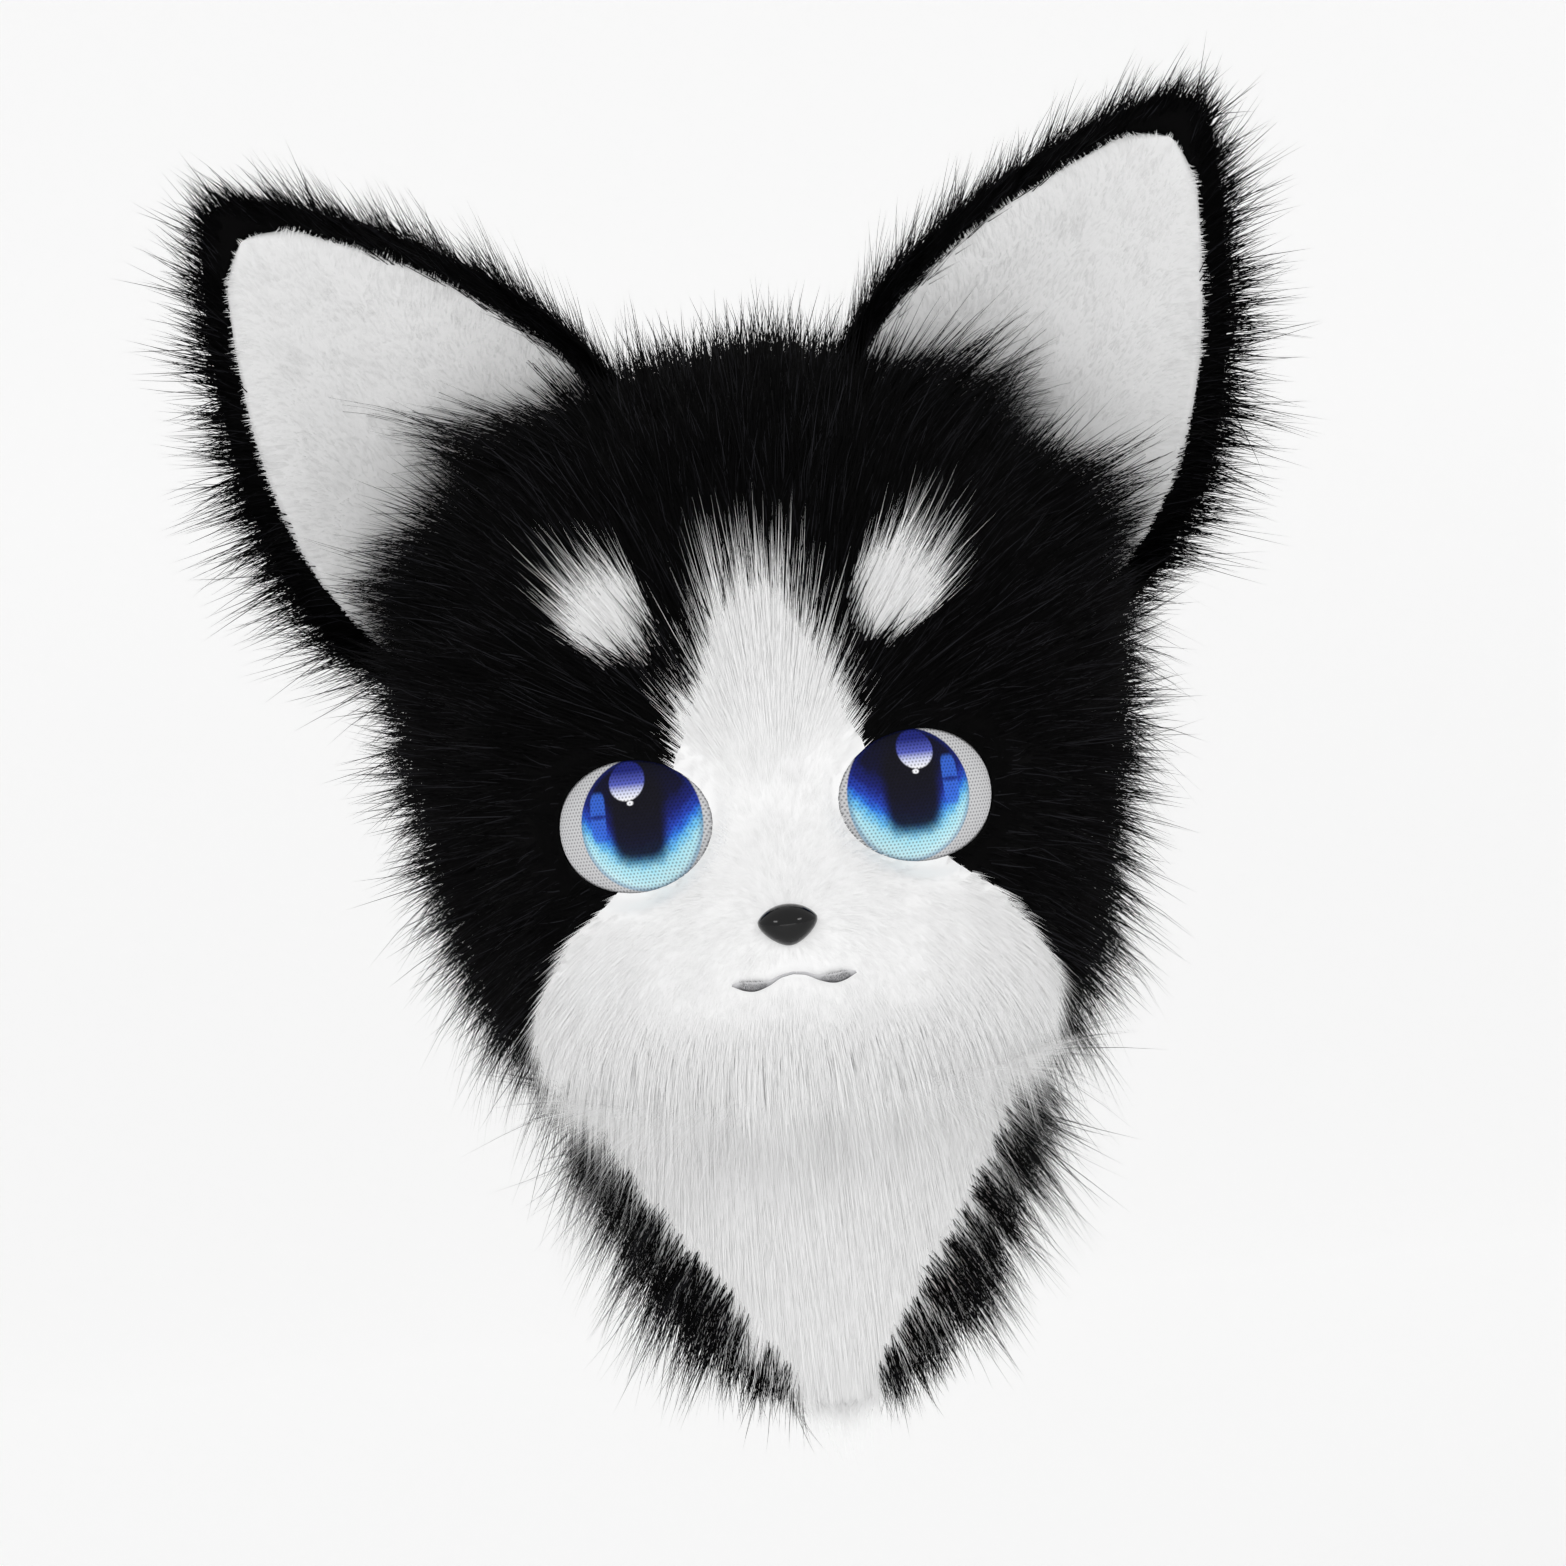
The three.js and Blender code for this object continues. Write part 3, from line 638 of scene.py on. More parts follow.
def add_node(tree, kind, inputs=(), **settings):
    """Adds a node with its settings. Inputs go by place or by name, each a value, a socket or a node."""
    node = tree.nodes.new(kind)
    for name, value in settings.items():
        setattr(node, name, value)
    for key, value in inputs.items() if isinstance(inputs, dict) else enumerate(inputs):
        if isinstance(value, bpy.types.Node):
            value = next(socket for socket in value.outputs if socket.enabled)
        if isinstance(value, bpy.types.NodeSocket):
            tree.links.new(value, node.inputs[key])
        else:
            node.inputs[key].default_value = value
    return node


# Fur in strands

# Inputs of the fur's nodes, by the kind of their sockets
FUR_INPUTS = {
    "Geometry": ["Geometry"],
    "Float": ["Density", "Width", "Lift", "Bend", "Lock spacing", "Lock draw", "Stray", "Least", "Guard"],
    "Int": ["Steps", "Seed"],
    "Material": ["Material"],
}


def fur_tree():
    """Strands over a skin. They follow its flow and are as long as its hair value says."""
    tree = bpy.data.node_groups.get("Fur strands")
    if tree:
        return tree
    tree = bpy.data.node_groups.new("Fur strands", "GeometryNodeTree")
    for kind, names in FUR_INPUTS.items():
        for name in names:
            tree.interface.new_socket(name, in_out="INPUT", socket_type=f"NodeSocket{kind}")
    tree.interface.new_socket("Geometry", in_out="OUTPUT", socket_type="NodeSocketGeometry")
    add = partial(add_node, tree)
    given = add("NodeGroupInput").outputs
    skin = given["Geometry"]
    here = add("GeometryNodeInputPosition")
    kinds = dict.fromkeys(("along", "growth", "lock", "hair"), "FLOAT")
    kinds |= dict.fromkeys(("flow", "drawn", "outwards"), "FLOAT_VECTOR")
    stored = {name: add("GeometryNodeInputNamedAttribute", {"Name": name}, data_type=kind)
              for name, kind in kinds.items()}
    seeds = {name: add(MATH, [given["Seed"], shift], operation="ADD")
             for name, shift in [("lock", 7), ("lift", 11), ("stray", 13), ("length", 17), ("width", 19),
                                 ("shade", 23), ("locks", 50)]}
    chances = {name: add("FunctionNodeRandomValue", {2: low, 3: high, "Seed": seeds[name]}, data_type="FLOAT")
               for name, low, high in [("lock", 0.0, 1.0), ("lift", 0.75, 1.25), ("length", 0.0, 1.0),
                                       ("width", 0.7, 1.2), ("shade", 0.0, 1.0)]}

    # One strand: a narrow strip up Z, drawn to a point, bent back along -Y
    strip = add("GeometryNodeMeshGrid", {"Size X": 1.0, "Size Y": 1.0, "Vertices X": 2,
                                         "Vertices Y": given["Steps"]})
    place = add("ShaderNodeSeparateXYZ", [here]).outputs
    along = add(MATH, [place["Y"], 0.5], operation="ADD")
    marked = add(STORE, {"Geometry": strip, "Name": "along", "Value": along}, data_type="FLOAT",
                 domain="POINT")
    taper = add(MATH, [along, 1.15], operation="POWER")
    narrow = add(MATH, [taper, 1.0], operation="SUBTRACT")
    across = add(MATH, [place["X"], narrow], operation="MULTIPLY")
    hook = add(MATH, [along, 2.0], operation="POWER")
    backwards = add(MATH, [given["Bend"], -1.0], operation="MULTIPLY")
    bent = add(MATH, [hook, backwards], operation="MULTIPLY")
    shape = add("ShaderNodeCombineXYZ", [across, bent, along])
    strand = add("GeometryNodeSetPosition", {"Geometry": marked, "Position": shape})
    strand = add("GeometryNodeMergeByDistance", {"Geometry": strand, "Distance": 0.001})

    # Roots, more of them where the skin says so, and the middles of the locks
    density = add(MATH, [given["Density"], stored["growth"]], operation="MULTIPLY")
    roots = add(SCATTER, {"Mesh": skin, "Density": density, "Seed": given["Seed"]},
                distribute_method="RANDOM")
    cell = add(MATH, [given["Lock spacing"], 2.0], operation="POWER")
    lock_density = add(MATH, [1.0, cell], operation="DIVIDE")
    locks = add(SCATTER, {"Mesh": skin, "Density": lock_density, "Seed": seeds["locks"]},
                distribute_method="RANDOM")
    nearest = add("GeometryNodeSampleNearest", {"Geometry": locks, "Sample Position": here})
    centre = add(SAMPLE, {"Geometry": locks, "Value": here, "Index": nearest}, data_type="FLOAT_VECTOR",
                 domain="POINT")
    lock_chance = add(SAMPLE, {"Geometry": locks, "Value": chances["lock"], "Index": nearest},
                      data_type="FLOAT", domain="POINT")
    drawn = add(VECTOR, [centre, here], operation="SUBTRACT")
    points = roots
    for name, kind, value in [
        ("drawn", "FLOAT_VECTOR", drawn),
        ("lock", "FLOAT", lock_chance),
        ("outwards", "FLOAT_VECTOR", roots.outputs["Normal"]),
    ]:
        points = add(STORE, {"Geometry": points, "Name": name, "Value": value}, data_type=kind,
                     domain="POINT")

    # Each strand's way: along the flow, lifted, with a stray share
    lock_lift = add(MATH, [stored["lock"], 0.6, 0.7], operation="MULTIPLY_ADD")
    lift = add(MATH, [given["Lift"], lock_lift], operation="MULTIPLY")
    lift = add(MATH, [lift, chances["lift"]], operation="MULTIPLY")
    level = add(MATH, [lift], operation="COSINE")
    steep = add(MATH, [lift], operation="SINE")
    flat = add(VECTOR, {0: stored["flow"], "Scale": level}, operation="SCALE")
    raised = add(VECTOR, {0: stored["outwards"], "Scale": steep}, operation="SCALE")
    stray = add("FunctionNodeRandomValue", {0: (-1, -1, -1), 1: (1, 1, 1), "Seed": seeds["stray"]},
                data_type="FLOAT_VECTOR")
    wild = add(VECTOR, {0: stray, "Scale": given["Stray"]}, operation="SCALE")
    way = add(VECTOR, [flat, raised], operation="ADD")
    way = add(VECTOR, [way, wild], operation="ADD")
    facing = add("FunctionNodeAxesToRotation", {"Primary Axis": way, "Secondary Axis": stored["outwards"]},
                 primary_axis="Z", secondary_axis="Y")

    # Each strand's size: its lock's share, its own share, and a few long guard hairs
    lock_length = add(MATH, [stored["lock"], 0.45, 0.75], operation="MULTIPLY_ADD")
    length = add(MATH, [stored["hair"], lock_length], operation="MULTIPLY")
    rest = add(MATH, [0.93, given["Least"]], operation="SUBTRACT")
    spread = add(MATH, [chances["length"], rest, given["Least"]], operation="MULTIPLY_ADD")
    rare = add(MATH, [chances["length"], 6.0], operation="POWER")
    spread = add(MATH, [rare, given["Guard"], spread], operation="MULTIPLY_ADD")
    length = add(MATH, [length, spread], operation="MULTIPLY")
    width = add(MATH, [given["Width"], chances["width"]], operation="MULTIPLY")
    size = add("ShaderNodeCombineXYZ", [width, length, length])
    copies = add("GeometryNodeInstanceOnPoints", {"Points": points, "Instance": strand, "Rotation": facing,
                                                  "Scale": size})
    shaded = add(STORE, {"Geometry": copies, "Name": "shade", "Value": chances["shade"]}, data_type="FLOAT",
                 domain="INSTANCE")
    real = add("GeometryNodeRealizeInstances", {"Geometry": shaded})

    # Locks: the points of neighbouring strands draw together
    share = add(MATH, [stored["along"], 1.6], operation="POWER")
    share = add(MATH, [share, given["Lock draw"]], operation="MULTIPLY")
    shift = add(VECTOR, {0: stored["drawn"], "Scale": share}, operation="SCALE")
    pulled = add("GeometryNodeSetPosition", {"Geometry": real, "Offset": shift})
    both = add("GeometryNodeJoinGeometry", {"Geometry": pulled})
    tree.links.new(skin, both.inputs[0])
    whole = add("GeometryNodeRealizeInstances", {"Geometry": both})
    painted = add("GeometryNodeSetMaterial", {"Geometry": whole, "Material": given["Material"]})
    add("NodeGroupOutput", {"Geometry": painted})
    return tree


def grow_fur(piece, coat, material, fullness):
    """Grows strands on a skin and makes the result a plain mesh."""
    row = COATS[coat]
    tree = fur_tree()
    values = {
        "Density": row["density"] * fullness,
        "Width": row["width"] * MM,
        "Lift": math.radians(row["lift"]),
        "Bend": row["bend"],
        "Lock spacing": row["lock"] * MM,
        "Lock draw": row["draw"],
        "Stray": row["stray"],
        "Least": row["least"],
        "Guard": row["guard"],
        "Steps": row["steps"],
        "Seed": row["seed"],
        "Material": material,
    }
    modifier = piece.modifiers.new("Fur", "NODES")
    modifier.node_group = tree
    for socket in tree.interface.items_tree:
        if socket.in_out == "INPUT" and socket.name in values:
            modifier[socket.identifier] = values[socket.name]
    made = applied(piece, modifier)
    for name in ("drawn", "lock", "outwards", "flow", "hair", "growth"):
        if name in made.attributes:
            made.attributes.remove(made.attributes[name])
    return piece


# Materials

def new_material(name, values):
    """A material whose shader has these values, and what adds nodes to its tree."""
    material = bpy.data.materials.new(name)
    material.use_nodes = True
    tree = material.node_tree
    tree.nodes.clear()
    shader = add_node(tree, "ShaderNodeBsdfPrincipled", values)
    add_node(tree, "ShaderNodeOutputMaterial", {"Surface": shader})
    return material, tree, shader


def fur_material(name, root, tip, uneven, values, usual=0.0):
    """Faux fur: pile on a knitted back, painted darker towards its roots as painted shade deep in the pile.
    The usual share of strands is dark, the others get lighter, which on the black pile is painted sheen.
    """
    if name in bpy.data.materials:
        return bpy.data.materials[name]
    material, tree, shader = new_material(name, values)
    add = partial(add_node, tree)
    along = add("ShaderNodeAttribute", attribute_name="along").outputs["Fac"]
    shade = add("ShaderNodeAttribute", attribute_name="shade").outputs["Fac"]
    # From root to tip by the along value: a darker root colour is painted shade deep in the pile; the mouth's
    # root colour is its own grey
    pile = add("ShaderNodeMix", {0: along, 6: root, 7: tip}, data_type="RGBA")
    # Strands below the usual share get the uneven share of the colour, the others rise to all of it: on the
    # black pile the lighter strands are painted sheen, elsewhere a random tone
    strand = add("ShaderNodeMapRange", {"Value": shade, "From Min": usual, "To Min": uneven, "To Max": 1.0})
    colour = add(VECTOR, {0: pile.outputs[2], "Scale": strand}, operation="SCALE")
    tree.links.new(colour.outputs[0], shader.inputs["Base Color"])
    return material


def white_fur(colours):
    """White acrylic pile, brushed: matt, bright down to its roots, with the sheen of fine fibres."""
    tip = linear(colours.white)
    # Roots a touch darker than the tips: painted shade in the pile
    root = [c * 0.995 for c in tip[:3]] + [1]
    values = {"Roughness": 0.85, "Specular IOR Level": 0.05, "Sheen Weight": 0.5, "Sheen Roughness": 0.6}
    return fur_material("white acrylic pile", root, tip, 0.985, values)


def black_fur(colours):
    """Black acrylic pile, combed: deep black, with a faint gloss, a few strands painted lighter as painted
    sheen, and roots painted darker as painted shade.
    """
    tip = linear(colours.black)
    # Roots at under half the tip's colour: painted shade deep in the pile and on the cloth under it
    root = [c * 0.45 for c in tip[:3]] + [1]
    values = {"Roughness": 0.5, "Specular IOR Level": 0.035}
    # Most strands get a twentieth of the colour; the few lighter ones are painted sheen
    return fur_material("black acrylic pile", root, tip, 0.05, values, usual=0.8)


def plush_material(colours):
    """White polyester plush, sheared: short and matt, so that it shows its folds and no strands."""
    tip = linear(colours.plush)
    # Roots a touch darker than the tips: painted shade in the pile
    root = [c * 0.98 for c in tip[:3]] + [1]
    values = {"Roughness": 0.9, "Specular IOR Level": 0.05}
    return fur_material("white polyester plush", root, tip, 0.96, values)


def mouth_pile(colours):
    """Grey polyester pile, shaved: matt, dark along the seam and fading into the white above it."""
    values = {"Roughness": 0.9, "Specular IOR Level": 0.05}
    return fur_material("grey polyester pile", linear(colours.mouth), linear("#F0F0F2"), 0.8, values)


def lining_cloth(colours):
    """Brushed knit over foam: matt and dark, mottled, with a fine rib, which is drawn at 3 mm to show."""
    material, tree, shader = new_material("brushed knit", {"Roughness": 0.9, "Specular IOR Level": 0.2})
    add = partial(add_node, tree)
    places = add("ShaderNodeTexCoord").outputs["Object"]
    rib = add("ShaderNodeTexWave", {"Vector": places, "Scale": 2 * math.pi / (20 * 3 * MM), "Distortion": 1.5,
                                    "Detail": 2})
    mottle = add("ShaderNodeTexNoise", {"Vector": places, "Scale": 60, "Detail": 4})
    dark = linear(colours.lining)
    pale = [c * 1.5 for c in dark[:3]] + [1]
    mix = add("ShaderNodeMix", {0: mottle, 6: dark, 7: pale}, data_type="RGBA")
    tree.links.new(mix.outputs[2], shader.inputs["Base Color"])
    bump = add("ShaderNodeBump", {"Height": rib.outputs["Fac"], "Distance": 0.0006, "Strength": 0.5})
    tree.links.new(bump.outputs[0], shader.inputs["Normal"])
    return material


def moulded_nose(colours):
    """Cast resin, lacquered: deep black with sharp reflections, broken by a faint orange peel of 1 mm."""
    values = {"Base Color": linear(colours.nose), "IOR": 1.5, "Specular IOR Level": 0.04, "Coat Weight": 0.6,
              "Coat Roughness": 0.03}
    material, tree, shader = new_material("lacquered resin", values)
    add = partial(add_node, tree)
    places = add("ShaderNodeTexCoord").outputs["Object"]
    peel = add("ShaderNodeTexNoise", {"Vector": places, "Scale": 900, "Detail": 2})
    bump = add("ShaderNodeBump", {"Height": peel, "Distance": 0.00004, "Strength": 0.3})
    rough = add("ShaderNodeMapRange", {"Value": peel, "To Min": 0.12, "To Max": 0.2})
    tree.links.new(bump.outputs[0], shader.inputs["Normal"])
    tree.links.new(rough.outputs[0], shader.inputs["Roughness"])
    return material


# Iris, in millimetres of the eye's own plane: middle and half sizes, across (outwards) and up
IRIS = {"across": -5.0, "up": 0.6, "wide": 25.4, "tall": 26.2}

# What is printed over the iris: places from its middle, half sizes, how square and how soft its edge
# is, its colour and how much it covers
PRINTED = table("across up wide tall square soft colour cover", [
    (0.3, 2.2, 11.6, 17.0, True, 0.42, "#0D0C18", 0.97),
    (17.2, 4.0, 3.4, 9.6, True, 0.25, "#3C70E4", 0.8),
    (17.2, 4.4, 4.0, 0.9, False, 0.5, "#18247C", 0.8),
])

# Painted lights, over iris and white alike
LIGHTS = table("across up wide tall soft", [
    (4.0, 17.2, 7.6, 7.6, 0.05),
    (2.6, 8.6, 1.4, 0.9, 0.25),
])


def printed_shape(tree, spot, row, square=False):
    """Covers an ellipse, or a rounder square, of the print: 1 inside it and 0 outside."""
    middle = (row["across"], row["up"], 0)
    away = add_node(tree, VECTOR, [spot, middle], operation="SUBTRACT")
    away = add_node(tree, VECTOR, [away, (row["wide"], row["tall"], 1)], operation="DIVIDE")
    if square:
        away = add_node(tree, VECTOR, [away, away], operation="MULTIPLY")
    far = add_node(tree, VECTOR, [away], operation="LENGTH").outputs["Value"]
    return add_node(tree, "ShaderNodeMapRange", {"Value": far, "From Min": 1 - row["soft"],
                                                 "From Max": 1 + row["soft"], "To Min": 1.0, "To Max": 0.0},
                    interpolation_type="SMOOTHSTEP")


def colour_stops(node, stops):
    """Puts (place, hex colour) stops on a colour ramp."""
    ramp = node.color_ramp
    while len(ramp.elements) > 1:
        ramp.elements.remove(ramp.elements[-1])
    for i, (place, colour) in enumerate(stops):
        element = ramp.elements[0] if i == 0 else ramp.elements.new(place)
        element.position = place
        element.color = linear(colour)


def on_iris(row):
    """A row whose place counts from the iris's middle, placed on the print."""
    return {**row, "across": row["across"] + IRIS["across"], "up": row["up"] + IRIS["up"]}


def eye_print():
    """Polyester eye mesh, heat printed: matt white net with a soft iris, a dark pupil and painted lights.

    Real mesh has holes 1 mm apart, which are too fine to show, so they are drawn 1.5 mm apart and painted
    darker, as painted shade of the dark inside seen through them.
    """
    material, tree, shader = new_material("printed eye mesh", {"Roughness": 0.6, "Specular IOR Level": 0.12})
    add = partial(add_node, tree)
    spot = add("ShaderNodeUVMap", uv_map="eye")
    iris_middle = (IRIS["across"], IRIS["up"], 0)
    inner = add(VECTOR, [spot, iris_middle], operation="SUBTRACT")
    inner = add(VECTOR, [inner, (IRIS["wide"], IRIS["tall"], 1)], operation="DIVIDE")
    parts = add("ShaderNodeSeparateXYZ", [inner]).outputs
    mottle = add("ShaderNodeTexNoise", {"Vector": spot, "Scale": 0.35, "Detail": 3})
    wobble = add(MATH, [mottle, 0.12, -0.06], operation="MULTIPLY_ADD")
    beside = add(MATH, [parts["X"], parts["X"]], operation="MULTIPLY")
    depth = add(MATH, [parts["Y"], -0.5, 0.5], operation="MULTIPLY_ADD")
    depth = add(MATH, [beside, 0.3, depth], operation="MULTIPLY_ADD")
    depth = add(MATH, [depth, wobble], operation="ADD")
    iris = add("ShaderNodeValToRGB", [depth])
    colour_stops(iris, [(0.0, "#07070F"), (0.38, "#0D0E30"), (0.54, "#1A2478"), (0.64, "#2848BE"),
                        (0.7, "#3480EA"), (0.77, "#72C6F5"), (0.85, "#B2EAF9"), (1.0, "#D8F8FD")])
    for row in PRINTED:
        shape = printed_shape(tree, spot, on_iris(row), row["square"])
        cover = add(MATH, [shape, row["cover"]], operation="MULTIPLY")
        iris = add("ShaderNodeMix", {0: cover, 6: iris, 7: linear(row["colour"])}, data_type="RGBA")
        iris = iris.outputs[2]
    far = add(VECTOR, [inner], operation="LENGTH").outputs["Value"]
    edge = add("ShaderNodeMapRange", {"Value": far, "From Min": 0.9, "From Max": 1.0},
               interpolation_type="SMOOTHSTEP")
    edge = add(MATH, [edge, 0.5], operation="MULTIPLY")
    iris = add("ShaderNodeMix", {0: edge, 6: iris, 7: linear("#1A2A86")}, data_type="RGBA").outputs[2]
    within = printed_shape(tree, spot, {**IRIS, "soft": 0.012})
    eye = add("ShaderNodeMix", {0: within, 6: linear("#D0D0D2"), 7: iris}, data_type="RGBA").outputs[2]
    height = add("ShaderNodeSeparateXYZ", [spot]).outputs["Y"]
    low, high = IRIS["up"] + 10, IRIS["up"] + 24
    glow = add("ShaderNodeMapRange", {"Value": height, "From Min": low, "From Max": high})
    light = add("ShaderNodeValToRGB", [glow])
    colour_stops(light, [(0.0, "#F8F8FD"), (0.22, "#D4D8F4"), (0.44, "#5A64C4"), (0.8, "#20287C")])
    for row in LIGHTS:
        cover = printed_shape(tree, spot, on_iris(row))
        eye = add("ShaderNodeMix", {0: cover, 6: eye, 7: light.outputs[0]}, data_type="RGBA").outputs[2]

    # Punched holes in staggered rows: the holes are real, their darkness is painted shade of the dark inside
    # seen through them
    pitch = 1.5
    row_rise = 1.732
    net = []
    for shift in (0.0, 0.5):
        cell = add(VECTOR, [spot, (pitch, pitch * row_rise, 1)], operation="DIVIDE")
        cell = add(VECTOR, [cell, (100 + shift, 100 + shift, 0)], operation="ADD")
        cell = add(VECTOR, [cell], operation="FRACTION")
        cell = add(VECTOR, [cell, (0.5, 0.5, 0)], operation="SUBTRACT")
        cell = add(VECTOR, [cell, (1, row_rise, 0)], operation="MULTIPLY")
        net.append(add(VECTOR, [cell], operation="LENGTH").outputs["Value"])
    near = add(MATH, net, operation="MINIMUM")
    hole = add("ShaderNodeMapRange", {"Value": near, "From Min": 0.16, "From Max": 0.36, "To Min": 0.5,
                                      "To Max": 1.0}, interpolation_type="SMOOTHSTEP")
    colour = add(VECTOR, {0: eye, "Scale": hole}, operation="SCALE")
    bump = add("ShaderNodeBump", {"Height": hole, "Distance": 0.0003, "Strength": 0.6})
    tree.links.new(colour.outputs[0], shader.inputs["Base Color"])
    tree.links.new(bump.outputs[0], shader.inputs["Normal"])
    return material


# Pieces

def build_form(settings):
    """The padded form: an outer and an inner skin that meet at the neck rim, with two eye holes."""
    s, f = settings.sizes, settings.face
    turns = round_turns(96)
    low = row_at(HEAD_ROWS, "height", 0.0, CROWN_ROW)

    # The outer skin, drawn in to a pocket behind each eye's mesh
    outer_rows = np.linspace(low, OUTER_TOP, 46)[:, None]
    outer = form_points(s, outer_rows, turns) - form_normals(s, outer_rows, turns) * GAP
    pocket_reach = 1.5
    for side in (-1, 1):
        ring, local = eye_ring(s, f, outer, side)
        sunk = 1 - smooth_step(ring, 1.25, pocket_reach)
        pocket = np.maximum(local[..., 1], 0.004)
        local[..., 1] = local[..., 1] * (1 - sunk) + pocket * sunk
        near = (ring < pocket_reach)[..., None]
        outer = np.where(near, moved(local, eye_frame(s, f, side)), outer)

    # The hollow, closed over its top, and the lip that joins both at the rim
    inset = (s.padding, s.front_padding, CROWN)
    inner = section_points(s, np.linspace(HOLLOW_TOP, low, 46)[:, None], turns, inset)
    inner[..., 2] = np.maximum(inner[..., 2], RIM)
    top = np.broadcast_to(outer[-1].mean(axis=0), outer[:1].shape)
    under = np.broadcast_to(inner[0].mean(axis=0), inner[:1].shape)
    lip_drop = 0.0015
    lip = (outer[:1] + inner[-1:]) / 2 - np.array([0, 0, lip_drop])
    piece = grid_piece("form_shell", np.concatenate([lip, outer, top]), True)
    inside = grid_piece("form_hollow", np.concatenate([under, inner, lip]), True)
    with mesh_work(piece.data, inside.data) as work:
        bmesh.ops.remove_doubles(work, verts=work.verts, dist=SAME)
        bmesh.ops.recalc_face_normals(work, faces=work.faces)
    bpy.data.objects.remove(inside)

    # The eye holes
    tool = new_object("eye_holes", bpy.data.meshes.new("eye_holes"))
    turn = Matrix.Rotation(math.pi / 2, 4, "X")
    size = Matrix.Diagonal((f.eye_width / 2 * HOLE, 1, f.eye_height / 2 * HOLE, 1))
    with mesh_work(tool.data) as work:
        for side in (-1, 1):
            bmesh.ops.create_cone(work, cap_ends=True, segments=48, radius1=1, radius2=1, depth=0.1,
                                  matrix=eye_frame(s, f, side) @ size @ turn)
        bmesh.ops.recalc_face_normals(work, faces=work.faces)
    cut = piece.modifiers.new("Eye holes", "BOOLEAN")
    cut.operation = "DIFFERENCE"
    cut.object = tool
    applied(piece, cut).shade_smooth()
    bpy.data.objects.remove(tool)
    return finish_piece(piece, "padding", ["head_form"], lining_cloth(settings.colours))


def head_skin(settings):
    """Points of the cloth on the head, lengths and flows of each coat, and how far off the eyes they are."""
    s, f, fur = settings.sizes, settings.face, settings.fur
    turns = round_turns(fur.round_steps)
    low = row_at(HEAD_ROWS, "height", 0.0, CROWN_ROW)
    rows = np.linspace(low + 0.1, CLOTH_TOP, fur.round_steps // 2)
    rows = np.concatenate([[low, low, low + 0.02], rows])[:, None]

    # The cloth stands half the pile off the form and dips to each eye's mesh
    base = form_points(s, rows, turns)
    normals = form_normals(s, rows, turns)
    raised = 0.5 * pile_at(s, base[..., 1]) + 0.0008 * waves(base, 0.03, 31)
    raised = raised * (0.15 + 0.85 * smooth_step(base[..., 2] - RIM, 0.0, 0.016))
    raised[0] = 0
    places = base + normals * raised[..., None]
    dip_reach = 1.3
    for side in (-1, 1):
        ring, local, depth = eye_opening(s, f, places, side)
        sunk = 1 - smooth_step(ring, 1.0, dip_reach)
        local[..., 1] = local[..., 1] * (1 - sunk) + depth * sunk
        near = (ring < dip_reach)[..., None]
        places = np.where(near, moved(local, eye_frame(s, f, side)), places)
    places = np.concatenate([places, np.broadcast_to(places[-1].mean(axis=0), places[:1].shape)])
    normals = np.concatenate([normals, normals[-1:]])

    # Which way the hair lies: parted over the ears' roots, hanging at the neck rim
    x, y, z = places[..., 0], places[..., 1], places[..., 2]
    above = z - nose_level(s)
    along = lying(hair_flow(s, places), normals)
    tuft = np.zeros(x.shape)
    for row in HOOD_TUFTS:
        far = np.hypot(np.abs(x) - row["across"], above - row["rise"]) / row["reach"]
        tuft = np.maximum(tuft, row["longer"] * np.exp(-(far**2)) * (y < 0.02))
    hood_flow = fluffed(along, normals, 0.65) + (tuft * 1.1 * np.sign(x))[..., None] * np.array([1, 0, 0.15])
    at_rim = smooth_step(-above, 0.028, 0.06)[..., None]
    hanging = unit(stack(x * 1.6, 0.3 * y, -1 + 0 * x))
    lowest = smooth_step(-above, 0.046, 0.064)[..., None] * 0.7
    hood_flow = hood_flow * (1 - lowest) + hanging * lowest
    face_flow = unit(fluffed(along, normals, 0.25) * (1 - at_rim) + hanging * at_rim)

    # How long the hair is: short round the eyes and the nose, long behind
    openings = np.minimum(*(eye_opening(s, f, places, side)[0] for side in (-1, 1)))
    close = smooth_step(openings, 1.0, 1.7)
    hood = fur.brow_length + (fur.hood_length - fur.brow_length) * smooth_step(y, -0.085, -0.01)
    lower = smooth_step(-above, -0.05, 0.03)
    uneven = 1.0 + 0.25 * waves(places, 0.05, 37) + tuft + 0.15 * lower
    hood = hood * (1.0 - 0.35 * lowest[..., 0]) * uneven * (0.3 + 0.7 * close)
    away = np.hypot(x, above)
    face = fur.face_length + (fur.brow_length - fur.face_length) * smooth_step(away, 0.045, 0.12)
    face = face + 0.006 * smooth_step(above, 0.05, 0.09)
    chin, chin_length = at_rim[..., 0], 0.025
    face = face * (1 - chin) + chin * chin_length
    face = face * (1 + 0.2 * waves(places, 0.03, 39)) * (0.4 + 0.6 * close)
    return places, hood, hood_flow, face, face_flow, openings


